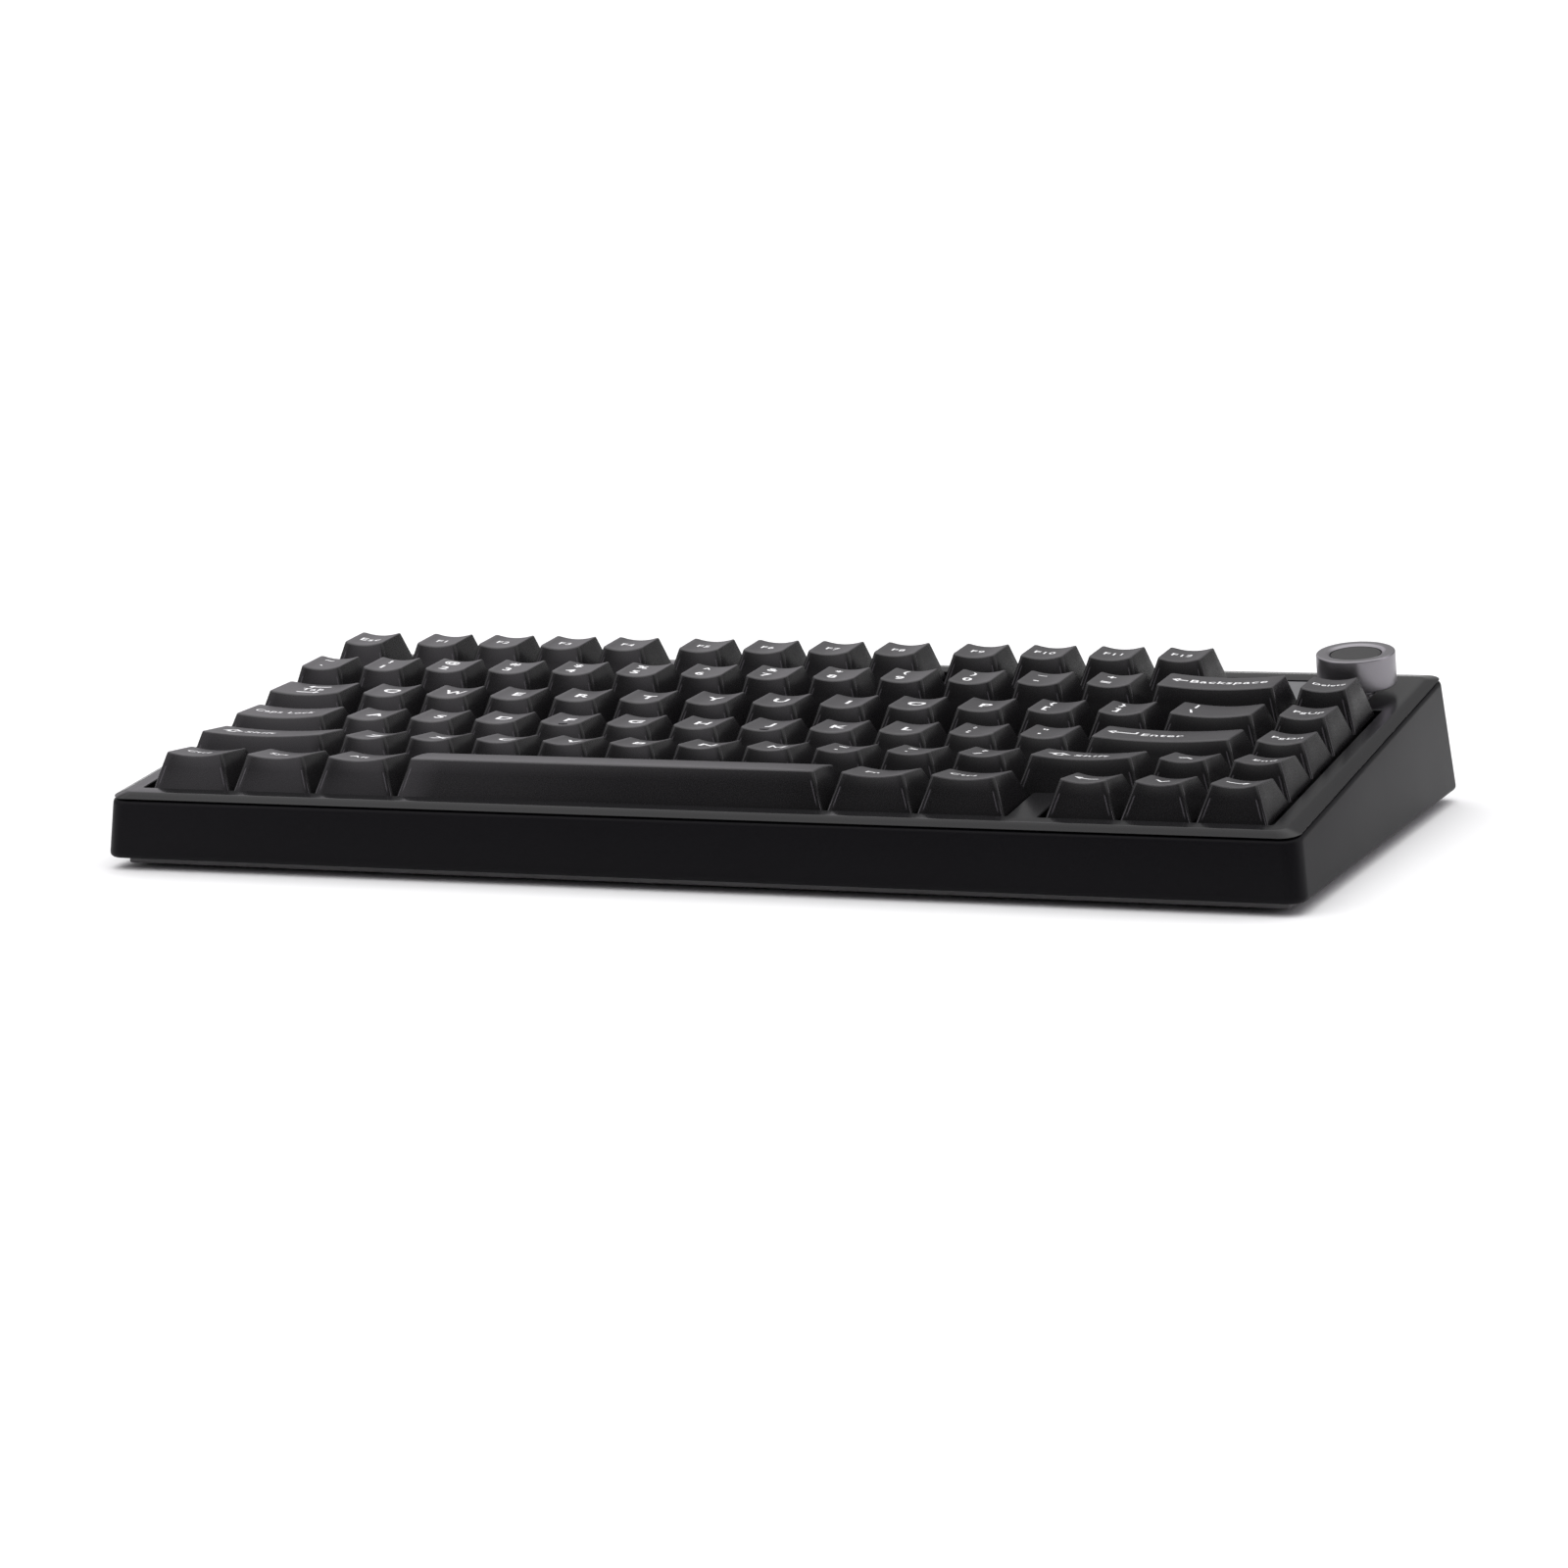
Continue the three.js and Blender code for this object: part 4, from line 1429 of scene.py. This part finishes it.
    def _letter_rows(self) -> None:
        """The three letter rows with the keys at their ends."""
        tab = (
            self._mark(Mark.TAB_BACK, (0.0, 3.2)),
            self._word("Tab", (-0.6, 0.0), 3.2),
            self._mark(Mark.TAB_ON, (-0.6, -3.2)),
        )
        self._add("tab", "tab", Row.UPPER, 0, 1.5, *tab)
        self._letters(Row.UPPER, 1.5, "QWERTYUIOP")
        self._signs(Row.UPPER, 11.5, 10, [("[", "{"), ("]", "}")])
        self._add("backslash", "backslash", Row.UPPER, 13.5, 1.5, *self._pair("\\", "|", 6.4))
        self._add("page_up", "page_up", Row.UPPER, 15, 1, self._word("PgUp", size=2.7))
        caps = self._word("Caps Lock", (-1.7, 0.0))
        self._add("caps_lock", "caps_lock", Row.HOME, 0, 1.75, caps)
        self._letters(Row.HOME, 1.75, "ASDFGHJKL")
        self._signs(Row.HOME, 10.75, 9, [(";", ":"), ("'", '"')])
        text = self._word("Enter", (-1.4, 0.0), self.wide_size)
        enter = (self._mark(Mark.RETURN, (-11.9, 0.4)), text)
        self._add("enter", "enter", Row.HOME, 12.75, 2.25, *enter)
        self._add("page_down", "page_down", Row.HOME, 15, 1, self._word("PgDn", size=2.7))
        text = self._word("Shift", (-3.6, 0.0), self.wide_size)
        shift = (self._mark(Mark.SHIFT, (-11.8, 0.0)), text)
        self._add("left_shift", "left_shift", Row.SHIFT, 0, 2.25, *shift)
        self._letters(Row.SHIFT, 2.25, "ZXCVBNM")
        self._signs(Row.SHIFT, 9.25, 7, [(",", "<"), (".", ">"), ("/", "?")])
        text = self._word("Shift", (0.8, 0.0), self.wide_size)
        shift = (self._mark(Mark.SHIFT, (-7.6, 0.0)), text)
        self._add("right_shift", "right_shift", Row.SHIFT, 12.25, 1.75, *shift)
        self._add("up", "arrow_up", Row.SHIFT, 14, 1, self._mark(Mark.CHEVRON_UP, (-1.3, 1.0)))
        self._add("end", "end", Row.SHIFT, 15, 1, self._word("End"))

    def _bottom_row(self) -> None:
        """Modifiers, the space bar and the arrow keys."""
        wide = [
            ("left_ctrl", 0.0, "Ctrl"),
            ("left_win", 1.25, "Sys"),
            ("left_alt", 2.5, "Alt"),
            ("fn", 10.0, "Fn"),
            ("right_ctrl", 11.25, "Ctrl"),
        ]
        for node, left, word in wide:
            self._add(node, node, Row.BOTTOM, left, 1.25, self._word(word, (-2.6, 0.6)))
        self._add("space", "space", Row.BOTTOM, 3.75, 6.25)
        marks = [
            ("left", Mark.ARROW_LEFT),
            ("down", Mark.CHEVRON_DOWN),
            ("right", Mark.ARROW_RIGHT),
        ]
        for i, (way, mark) in enumerate(marks):
            legend = self._mark(mark, (-1.3, 0.6))
            self._add(way, f"arrow_{way}", Row.BOTTOM, 13 + i, 1, legend)

    def build(self) -> None:
        """Makes every cap and legend, and lets them ride on their keys."""
        self.lay_out()
        shown = set()
        for key in self.keys:
            cap = KeyCap(key)
            piece = cap.mesh_object()
            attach(piece, key.node)
            if key.node not in shown:
                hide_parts(key.node)
                shown.add(key.node)
            legend = cap.legend_object()
            if legend is not None:
                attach(legend, key.node)
        LOG.info("keys: %d caps on %d bodies", len(self.keys), len(shown))


# ---------------------------------------------------------------- switches


@dataclass
class SwitchBank:
    """The switch housings, one under each keycap, made by a node tree."""

    body: float = 13.4
    flange: float = 15.4
    crown: float = 8.8
    bottom: float = -11.3
    plate_top: float = -6.0
    top: float = 0.0
    well: float = 6.0
    well_depth: float = 6.9
    overlap: float = 0.4
    flange_height: float = 0.9
    flange_step: float = 0.8

    def build(self, keys: Sequence[Key]) -> None:
        """Places a housing under every key.

        Args:
            keys: All the keys.
        """
        mesh = bpy.data.meshes.new("switch_places")
        mesh.from_pydata([(*key.centre, 0.0) for key in keys], [], [])
        piece = linked("switch_bank", mesh)
        self.grower().apply_to(piece)
        frozen(piece)
        piece.data.transform(TO_WORLD)
        piece.data.shade_flat()
        SWITCH.dress(piece)
        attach(piece, "case")
        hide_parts("switch_housings")
        LOG.info("switches: %d faces", len(piece.data.polygons))

    def grower(self) -> "NodeGrower":
        """Writes the node tree: a body, a flange and a tapered top with a square well.

        Returns:
            The grower that holds the finished tree.
        """
        grower = NodeGrower("switch_housing_grower")
        body = grower.input("Body", self.body)
        flange = grower.input("Flange", self.flange)
        well = grower.input("Well", self.well)
        tall = self.plate_top - self.bottom + self.overlap
        lower = grower.block((body, body, tall), (self.bottom + self.plate_top) / 2)
        thick = self.flange_height
        rim = grower.block((flange, flange, thick), self.plate_top + thick / 2)
        cone = grower.add(
            "GeometryNodeMeshCone",
            {},
            {
                "Vertices": 4,
                "Radius Top": self.crown / math.sqrt(2),
                "Radius Bottom": (self.flange - self.flange_step) / math.sqrt(2),
                "Depth": self.top - self.plate_top - thick,
            },
        )
        hood = grower.add(
            "GeometryNodeTransform",
            {},
            {
                "Geometry": cone.outputs["Mesh"],
                "Translation": (0, 0, self.plate_top + thick),
                "Rotation": (0, 0, math.pi / 4),
            },
        )
        hole = grower.block((well, well, 2 * self.well_depth), 0.0)
        solids = grower.add("GeometryNodeMeshBoolean", {"operation": "UNION"}, {})
        for part in (lower, rim, hood):
            grower.tree.links.new(part.outputs[0], solids.inputs["Mesh 2"])
        values = {"Mesh 1": solids.outputs[0], "Mesh 2": hole.outputs[0]}
        bored = grower.add("GeometryNodeMeshBoolean", {"operation": "DIFFERENCE"}, values)
        grower.finish(bored.outputs[0], SWITCH.material())
        return grower


class NodeGrower:
    """Writes a geometry node tree that puts one solid on every point of a mesh."""

    def __init__(self, name: str) -> None:
        """Starts a tree with a geometry input and output.

        Args:
            name: The tree's name.
        """
        self.tree = bpy.data.node_groups.new(name, "GeometryNodeTree")
        face = self.tree.interface
        face.new_socket("Geometry", in_out="INPUT", socket_type="NodeSocketGeometry")
        face.new_socket("Geometry", in_out="OUTPUT", socket_type="NodeSocketGeometry")
        self.source = self.tree.nodes.new("NodeGroupInput")
        self.sink = self.tree.nodes.new("NodeGroupOutput")
        self.sizes: dict[str, float] = {}

    def input(self, name: str, value: float) -> bpy.types.NodeSocket:
        """Adds a named number to the tree's inputs.

        Args:
            name: The input's name.
            value: What the modifier sets it to.

        Returns:
            The socket inside the tree.
        """
        made = self.tree.interface.new_socket(name, in_out="INPUT", socket_type="NodeSocketFloat")
        self.sizes[made.identifier] = value
        return self.source.outputs[name]

    def apply_to(self, piece: bpy.types.Object) -> None:
        """Puts the tree on a piece, and sets its inputs by their identifiers.

        Args:
            piece: The object, not yet evaluated.
        """
        modifier = piece.modifiers.new(self.tree.name, "NODES")
        modifier.node_group = self.tree
        for identifier, value in self.sizes.items():
            modifier[identifier] = value

    def add(self, kind: str, settings: dict[str, Any], values: dict[str, Any]) -> bpy.types.Node:
        """Adds one node.

        Args:
            kind: The node's type.
            settings: Attributes set before the sockets.
            values: Numbers or sockets for the input sockets.

        Returns:
            The node.
        """
        made = self.tree.nodes.new(kind)
        for key, value in settings.items():
            setattr(made, key, value)
        for key, value in values.items():
            if isinstance(value, bpy.types.NodeSocket):
                self.tree.links.new(value, made.inputs[key])
            else:
                made.inputs[key].default_value = value
        return made

    def block(self, size: Sequence[Any], centre_z: float) -> bpy.types.Node:
        """A box on the tree's own axis.

        Args:
            size: Its three sizes, as numbers or sockets.
            centre_z: Height of its middle.

        Returns:
            The node that gives the box.
        """
        vector = self.add("ShaderNodeCombineXYZ", {}, dict(zip("XYZ", size)))
        cube = self.add("GeometryNodeMeshCube", {}, {"Size": vector.outputs[0]})
        values = {"Geometry": cube.outputs["Mesh"], "Translation": (0, 0, centre_z)}
        return self.add("GeometryNodeTransform", {}, values)

    def finish(self, solid: bpy.types.NodeSocket, material: bpy.types.Material) -> None:
        """Puts the solid on the points, and makes it real geometry with a material.

        Args:
            solid: The geometry to repeat.
            material: Its material.
        """
        values = {"Points": self.source.outputs[0], "Instance": solid}
        points = self.add("GeometryNodeInstanceOnPoints", {}, values)
        real = self.add("GeometryNodeRealizeInstances", {}, {"Geometry": points.outputs[0]})
        values = {"Geometry": real.outputs[0], "Material": material}
        dressed = self.add("GeometryNodeSetMaterial", {}, values)
        self.tree.links.new(dressed.outputs[0], self.sink.inputs[0])


# ---------------------------------------------------------------- the case

TILT_FEET = ("tilt_foot_left", "tilt_foot_right")
RUBBER_FEET = tuple(
    f"rubber_foot_{end}_{side}" for end in ("front", "rear") for side in ("left", "right")
)


@dataclass
class TopFrame:
    """The chamfered frame round the keys, with the inset panel."""

    edge_w: float = -0.5
    top_w: float = 1.0
    rib_bottom: float = -4.2
    flat: float = 5.2
    flat_rear: float = 5.7
    rib_side: float = 4.9
    rib_front: float = 4.4
    rib_rear: float = 8.7
    margin: float = 1.3
    blocker_left: float = 12.5
    blocker_margin: float = 0.8
    panel_u: tuple[float, float] = (264.0, 282.0)
    panel_depth: float = 1.3
    shaft_hole: float = 4.8
    opening_radius: float = 0.7
    break_edge: float = 0.22
    rib_radius: float = 1.0
    rim_steps: tuple[tuple[float, float], ...] = ((0.0, 0.75), (0.0, 0.45), (0.05, 0.3), (0.16, 0.25))
    slope_shares: tuple[float, ...] = (0.07, 0.5, 0.93)
    crest_share: float = 0.35
    flat_radius: float = 3.2
    flat_step: float = 0.3
    cut_low: float = -9.0
    cut_high: float = 9.0
    function_margin: float = 0.8
    main_margin: float = 0.4
    recess_radius: float = 1.2
    panel_gap: float = 0.3
    panel_radius: float = 0.95
    panel_steps: tuple[tuple[float, float], ...] = ((0.0, 0.0), (0.0, 0.6), (0.08, 0.74), (0.3, 0.8))
    slot_inset: tuple[float, float, float] = (3.0, 6.0, 6.0)
    slot_width: float = 1.2
    slot_floor: float = 0.5
    slot_radius: float = 0.5
    sharp_angle: float = 20.0
    panel_sharp_angle: float = 30.0

    def _flat_ring(self, inset: float) -> list[Vector]:
        """The edge of the flat top, or a ring inside it.

        Args:
            inset: How far inside the edge the ring runs.

        Returns:
            The ring's points.
        """
        flat = self.flat - inset
        u = (-flat, DECK.width + flat)
        v = (-flat, DECK.depth + self.flat_rear - inset)
        return deck_rectangle(u, v, self.top_w, self.flat_radius - inset)

    def body(self) -> bpy.types.Object:
        """The frame without its openings.

        Returns:
            The solid, from the rib under the rim up to the flat top.
        """
        side, front = self.rib_side, self.rib_front
        rib = ((-side, DECK.width + side), (-front, DECK.depth + self.rib_rear))
        rims = [WALLS.deck_ring(self.edge_w + rise, inset) for rise, inset in self.rim_steps]
        crest = self._flat_ring(0.0)
        within = self._flat_ring(self.flat_step)
        slope = [blended(rims[-1], crest, share) for share in self.slope_shares]
        soft = blended(blended(slope[-1], within, 0.5), crest, self.crest_share)
        ribs = [deck_rectangle(*rib, w, self.rib_radius) for w in (self.rib_bottom, self.edge_w)]
        bm = bmesh.new()
        skin(bm, [*ribs, *rims, *slope, soft, within])
        return object_from(bm, "top_frame", self.sharp_angle)

    def _opening(self, outline: Outline) -> bpy.types.Object:
        """A cutter with straight sides and a small flare at the frame's top.

        Args:
            outline: The opening's corners.

        Returns:
            The cutter.
        """
        step, top = self.break_edge, self.top_w
        soft, wide, wider = [
            rounded(offset(outline, grow), self.opening_radius + grow) for grow in (0.0, step, 2 * step)
        ]
        layers = [(soft, self.cut_low), (soft, top - step), (wide, top), (wider, top + step)]
        return slab("opening", layers)

    def build(self) -> None:
        """Makes the frame and the panel in it."""
        frame_piece = self.body()
        right = DECK.width + self.margin
        blocker = self.blocker_left * DECK.pitch
        left_wall = blocker + self.blocker_margin
        right_wall = blocker + DECK.pitch / 2 - self.blocker_margin
        blocker_back = DECK.pitch - self.blocker_margin
        low, back = -self.margin, 5 * DECK.pitch + self.main_margin
        main = [
            (low, low),
            (left_wall, low),
            (left_wall, blocker_back),
            (right_wall, blocker_back),
            (right_wall, low),
            (right, low),
            (right, back),
            (low, back),
        ]
        last = 13 * DECK.pitch + 3 * DECK.function_group_gap + self.margin
        function_front = DECK.function_v - self.function_margin
        functions = rectangle(low, last, function_front, DECK.depth + self.margin)
        panel = rectangle(*self.panel_u, DECK.function_v + self.function_margin, DECK.depth)
        recess = rounded(panel, self.recess_radius)
        bore = circle(*DECK.knob, self.shaft_hole)
        carve(
            frame_piece,
            [
                self._opening(main),
                self._opening(functions),
                slab("recess", [(recess, self.top_w - self.panel_depth), (recess, self.cut_high)]),
                slab("bore", [(bore, self.cut_low), (bore, self.cut_high)]),
            ],
        )
        shade(frame_piece, self.sharp_angle)
        TOP_FRAME.dress(frame_piece)
        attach(frame_piece, "case")
        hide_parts("top_case")
        self._panel(panel)
        LOG.info("top frame: %d faces", len(frame_piece.data.polygons))

    def _panel(self, recess: Outline) -> None:
        """Makes the satin panel beside the knob, with a fine slot down it.

        Args:
            recess: The outline of the recess that holds it.
        """
        outline = offset(recess, -self.panel_gap)
        bottom = self.top_w - self.panel_depth + self.panel_gap
        layers = [
            (rounded(offset(outline, -inset), self.panel_radius - inset), bottom + rise)
            for inset, rise in self.panel_steps
        ]
        piece = slab("indicator_inset", layers)
        left, front, back = self.slot_inset
        left += self.panel_u[0]
        front += DECK.function_v + self.function_margin
        slot = rectangle(left, left + self.slot_width, front, DECK.depth - back)
        soft = rounded(slot, self.slot_radius)
        carve(piece, [slab("slot", [(soft, bottom + self.slot_floor), (soft, self.cut_high)])])
        shade(piece, self.panel_sharp_angle)
        PANEL.dress(piece)
        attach(piece, "case")
        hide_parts("indicator_panel")


@dataclass
class Tub:
    """The lower case: leaning walls, a lip under the seam and a stepped plinth."""

    lip_w: float = -0.95
    wall: float = 2.2
    floor_z: float = 4.4
    plinth_inset: float = 5.0
    foot_z: float = 1.0
    edge: float = 1.5
    edge_steps: int = 6
    socket_z: float = 14.0
    usb: tuple[float, float, float] = (-112.4, 9.74, 4.06)
    usb_radius: float = 1.9
    sliders: tuple[tuple[float, float], ...] = ((-92.4, 10.8), (-72.4, 8.8))
    slider_height: float = 3.2
    slider_radius: float = 0.6
    plinth_steps: tuple[tuple[float, float], ...] = ((0.0, 0.4), (0.1, 0.12), (0.4, 0.0))
    plinth_drop: float = 0.15
    plinth_flare: float = 0.2
    plinth_margin: float = 0.1
    upright: float = 0.5
    sharp_angle: float = 24.0
    lip_steps: tuple[tuple[float, float], ...] = (
        (1.1, 0.0),
        (0.75, 0.04),
        (0.45, 0.15),
        (0.2, 0.34),
        (0.05, 0.58),
        (0.0, 0.85),
    )
    pocket_skin: float = 1.6
    pocket_block: tuple[float, float] = (2.0, 7.6)
    pocket_hollow: tuple[float, float] = (0.0, 6.0)
    pocket_radius: float = 0.6
    pocket_gap: float = 0.6
    pocket_front: float = 0.7
    pin: float = 1.2
    foot_gap: float = 0.3
    foot_radius: float = 2.6
    foot_depth: float = 0.9
    cut_half: float = 6.0

    def outer_rings(self) -> list[list[Vector]]:
        """Rings from the plinth's underside up to the lip.

        Returns:
            The rings, the last of them at the inside of the wall.
        """
        plinth = self.plinth_inset
        rings = [
            WALLS.level_ring(self.foot_z + rise, plinth + inset) for rise, inset in self.plinth_steps
        ]
        rings.append(WALLS.level_ring(WALLS.base_z - self.plinth_drop, plinth))
        rings.append(WALLS.level_ring(WALLS.base_z, plinth - self.plinth_flare))
        for step in range(self.edge_steps + 1):
            angle = math.pi / 2 * step / self.edge_steps
            inset = self.edge * (1 - math.sin(angle))
            rings.append(WALLS.level_ring(WALLS.base_z + self.edge * (1 - math.cos(angle)), inset))
        for drop, inset in (*self.lip_steps, (0.0, self.wall)):
            rings.append(WALLS.deck_ring(self.lip_w - drop, inset))
        return rings

    def build(self) -> None:
        """Makes the tub, and cuts its pockets, foot recesses and rear sockets."""
        bm = bmesh.new()
        skin(bm, self.outer_rings() + [WALLS.level_ring(self.floor_z, self.wall)])
        tub = object_from(bm, "lower_shell", self.sharp_angle)
        blocks = [self._pocket(foot, self.pocket_skin, *self.pocket_block) for foot in TILT_FEET]
        carve(tub, blocks, "UNION")
        cutters = [self._pocket(foot, 0.0, *self.pocket_hollow) for foot in TILT_FEET]
        cutters += [self._foot_recess(foot) for foot in RUBBER_FEET]
        cutters.append(self._through(*self.usb, self.usb_radius))
        for x, width in self.sliders:
            cutters.append(self._through(x, width, self.slider_height, self.slider_radius))
        carve(tub, cutters)
        shade(tub, self.sharp_angle)
        LOWER_SHELL.dress(tub)
        # The plinth's sides get the lighter colour: painted reflection of floor bounce light on the same
        # black plastic.
        tub.data.materials.append(PLINTH_PAINTED_BOUNCE.material())
        top = (WALLS.base_z - self.plinth_margin) * MM
        for face in tub.data.polygons:
            if face.center.z < top and abs(face.normal.z) < self.upright:
                face.material_index = 1
        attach(tub, "case")
        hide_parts("bottom_case")
        LOG.info("tub: %d faces", len(tub.data.polygons))

    def _pocket(self, foot: str, skin_out: float, low: float, high: float) -> bpy.types.Object:
        """The block round a tilt foot, or the hollow in it.

        Args:
            foot: The foot's node.
            skin_out: How far the block stands outside the hollow.
            low: Height of its underside.
            high: Height of its top.

        Returns:
            The solid.
        """
        (x0, y0, _), (x1, y1, _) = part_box(foot)
        pin, gap = self.pin, self.pocket_gap
        outline = rectangle(
            x0 / MM + pin - gap - skin_out,
            x1 / MM - pin + gap + skin_out,
            y0 / MM - self.pocket_front - skin_out,
            y1 / MM + gap + skin_out,
        )
        soft = rounded(outline, self.pocket_radius)
        return slab("pocket", [(soft, low), (soft, high)], LEVEL)

    def _foot_recess(self, node: str) -> bpy.types.Object:
        """The shallow recess that holds a rubber foot.

        Args:
            node: The foot's node.

        Returns:
            The cutter.
        """
        (x0, y0, _), (x1, y1, _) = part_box(node)
        outline = offset(rectangle(x0 / MM, x1 / MM, y0 / MM, y1 / MM), self.foot_gap)
        soft = rounded(outline, self.foot_radius)
        return slab("recess", [(soft, 0.0), (soft, self.foot_z + self.foot_depth)], LEVEL)

    def _through(self, x: float, width: float, height: float, radius: float) -> bpy.types.Object:
        """A hole through the rear wall.

        Args:
            x: Middle of the hole.
            width: Its width.
            height: Its height.
            radius: Its corner radius, at most a little less than half the height.

        Returns:
            The cutter.
        """
        half_x, half_z = width / 2, height / 2
        radius = min(radius, half_z - 0.05)
        outline = rounded(rectangle(-half_x, half_x, -half_z, half_z), radius, 6)
        rear = WALLS.half_depth - WALLS.draft * (self.socket_z - WALLS.base_z)
        turn = Matrix.Translation((x * MM, rear * MM, self.socket_z * MM))
        turn = turn @ Matrix.Rotation(math.pi / 2, 4, "X") @ Matrix.Scale(MM, 4)
        return slab("through", [(outline, -self.cut_half), (outline, self.cut_half)], turn)


# ---------------------------------------------------------------- the knob


@dataclass
class Knob:
    """The turned ring and the dark disc let into it."""

    radius: float = 10.2
    bottom: float = 3.2
    top: float = 11.8
    bore: float = 3.3
    inlay: float = 6.5
    recess: float = 0.5
    base_edge: float = 0.35
    crown: float = 0.45
    inlay_gap: float = 0.3
    inlay_edge: float = 0.12
    seat: float = 0.9

    def ring_profile(self) -> Outline:
        """The ring's profile.

        Returns:
            Its (radius, height) points, which close on themselves.
        """
        outer = self.radius
        lip = self.inlay + self.inlay_gap
        floor = self.top - self.recess - self.seat
        edge, crown = self.base_edge, self.crown
        points = [(self.bore, self.bottom), (outer - edge, self.bottom)]
        for step in range(1, 5):
            angle = math.pi / 2 * step / 4
            radius = outer - edge * (1 - math.sin(angle))
            points.append((radius, self.bottom + edge * (1 - math.cos(angle))))
        for step in range(7):
            angle = math.pi / 2 * step / 6
            radius = outer - crown * (1 - math.cos(angle))
            points.append((radius, self.top - crown * (1 - math.sin(angle))))
        points += [
            (lip + 0.95, self.top),
            (lip + 0.85, self.top - 0.03),
            (lip + 0.12, self.top - self.recess + 0.1),
            (lip, self.top - self.recess),
            (lip, floor),
            (self.bore, floor),
        ]
        return points

    def build(self) -> None:
        """Makes the ring and the disc, which turn together."""
        ring = lathe("knob_body", DECK.knob, self.ring_profile(), closed=True)
        KNOB_METAL.dress(ring)
        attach(ring, "knob")
        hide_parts("knob_ring")
        high = self.top - self.recess
        profile = [
            (self.inlay, high - 0.6),
            (self.inlay, high - self.inlay_edge),
            (self.inlay - self.inlay_edge, high),
            (self.inlay * 0.5, high - 0.05),
            (self.inlay * 0.1, high - 0.07),
        ]
        disc = lathe("knob_disc", DECK.knob, profile, closed=False)
        KNOB_INLAY.dress(disc)
        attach(disc, "knob")
        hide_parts("knob_inlay")
        LOG.info("knob: ring and disc")


# ---------------------------------------------------------------- carried-over pieces


def dress_frame() -> None:
    """Gives every CAD node that stays in view its finish."""
    finishes = {
        PLATE: ["switch_plate"],
        FOAM: ["gasket", "case_foam"],
        BOARD: ["circuit_board", "usb_board"],
        STEEL: ["encoder_body", "encoder_shaft", "usb_c_port"],
        WRAP: ["battery"],
        NYLON: ["mode_slider", "system_slider", *TILT_FEET],
        RUBBER: RUBBER_FEET,
    }
    for finish, names in finishes.items():
        finish.dress(*[frame["nodes"][name] for name in names])


# ---------------------------------------------------------------- the stage


@dataclass(frozen=True)
class Studio:
    """Camera, pale floor and soft light."""

    camera_at: Point = (0.485662, -1.133073, 0.251498)
    camera_turn: Point = (79.0524, 2.8, 22.6244)
    lens: float = 110.145
    sensor: float = 36.0
    front: Point = (0.38, -0.92, 0.0)
    front_glow: float = 0.05
    back_glow: float = 0.5
    zenith_glow: float = 2.1
    front_fade: tuple[float, float] = (-0.2, 0.8)
    zenith_fade: tuple[float, float] = (0.5, 0.85)
    floor_half: float = 30.0
    tint: Point = (1.0, 0.95, 1.03)

    def build(self) -> None:
        """Sets the whole stage."""
        self._camera()
        self._floor()
        self._world()
        self._softboxes()

    def _camera(self) -> None:
        """The camera."""
        data = bpy.data.cameras.new("camera")
        data.lens = self.lens
        data.sensor_width = self.sensor
        data.clip_start = 0.05
        data.clip_end = 200.0
        camera = linked("camera", data)
        camera.location = self.camera_at
        camera.rotation_euler = [math.radians(angle) for angle in self.camera_turn]
        bpy.context.scene.camera = camera

    def _floor(self) -> None:
        """A wide pale floor."""
        half = self.floor_half
        mesh = bpy.data.meshes.new("floor")
        corners = [(-half, -half, 0), (half, -half, 0), (half, half, 0), (-half, half, 0)]
        mesh.from_pydata(corners, [], [(0, 1, 2, 3)])
        floor = linked("floor", mesh)
        bench = Bench(bpy.data.materials.new("floor_paper"))
        bench.set(Base_Color=(0.93, 0.93, 0.935, 1.0), Roughness=0.9, Specular_IOR_Level=0.1)
        mesh.materials.append(bench.owner)

    def _world(self) -> None:
        """White all round, but dim in front of the keys and bright overhead."""
        world = bpy.data.worlds.new("studio")
        bpy.context.scene.world = world
        bench = Bench(world, "ShaderNodeOutputWorld", "ShaderNodeBackground")
        way = bench.node("ShaderNodeTexCoord", output="Generated")
        values = {0: way, 1: self.front}
        ahead = bench.node("ShaderNodeVectorMath", {"operation": "DOT_PRODUCT"}, values, "Value")
        around = ahead.between(*self.front_fade, self.back_glow, self.front_glow)
        above = bench.split(way)[2].between(*self.zenith_fade, 0.0, self.zenith_glow)
        direct = bench.node("ShaderNodeLightPath", output="Is Camera Ray")
        bench.set(Strength=(around + above).at_least(direct))

    def _softboxes(self) -> None:
        """Soft panels that shape the reflections: name, place, size and power."""
        boxes = [
            ("softbox_back_left", (-0.95, 1.1, 0.85), 0.95, 2.2),
            ("softbox_right", (1.35, 0.45, 0.5), 0.9, 4.2),
            ("softbox_left_front", (-0.85, -0.75, 0.55), 0.7, 1.9),
        ]
        for name, place, size, power in boxes:
            data = bpy.data.lights.new(name, "AREA")
            data.shape = "SQUARE"
            data.size = size
            data.energy = power
            data.color = self.tint
            light = linked(name, data)
            light.location = place
            light.rotation_euler = (-Vector(place)).to_track_quat("-Z", "Y").to_euler()


def main() -> None:
    """Builds the sub-assemblies in order."""
    logging.basicConfig(level=logging.INFO, format="%(name)s: %(message)s")
    bpy.context.scene.view_settings.view_transform = "Standard"
    Studio().build()
    dress_frame()
    TopFrame().build()
    Tub().build()
    Knob().build()
    bank = KeyBank()
    bank.build()
    SwitchBank().build(bank.keys)
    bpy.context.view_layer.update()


if __name__ == "__main__":
    main()
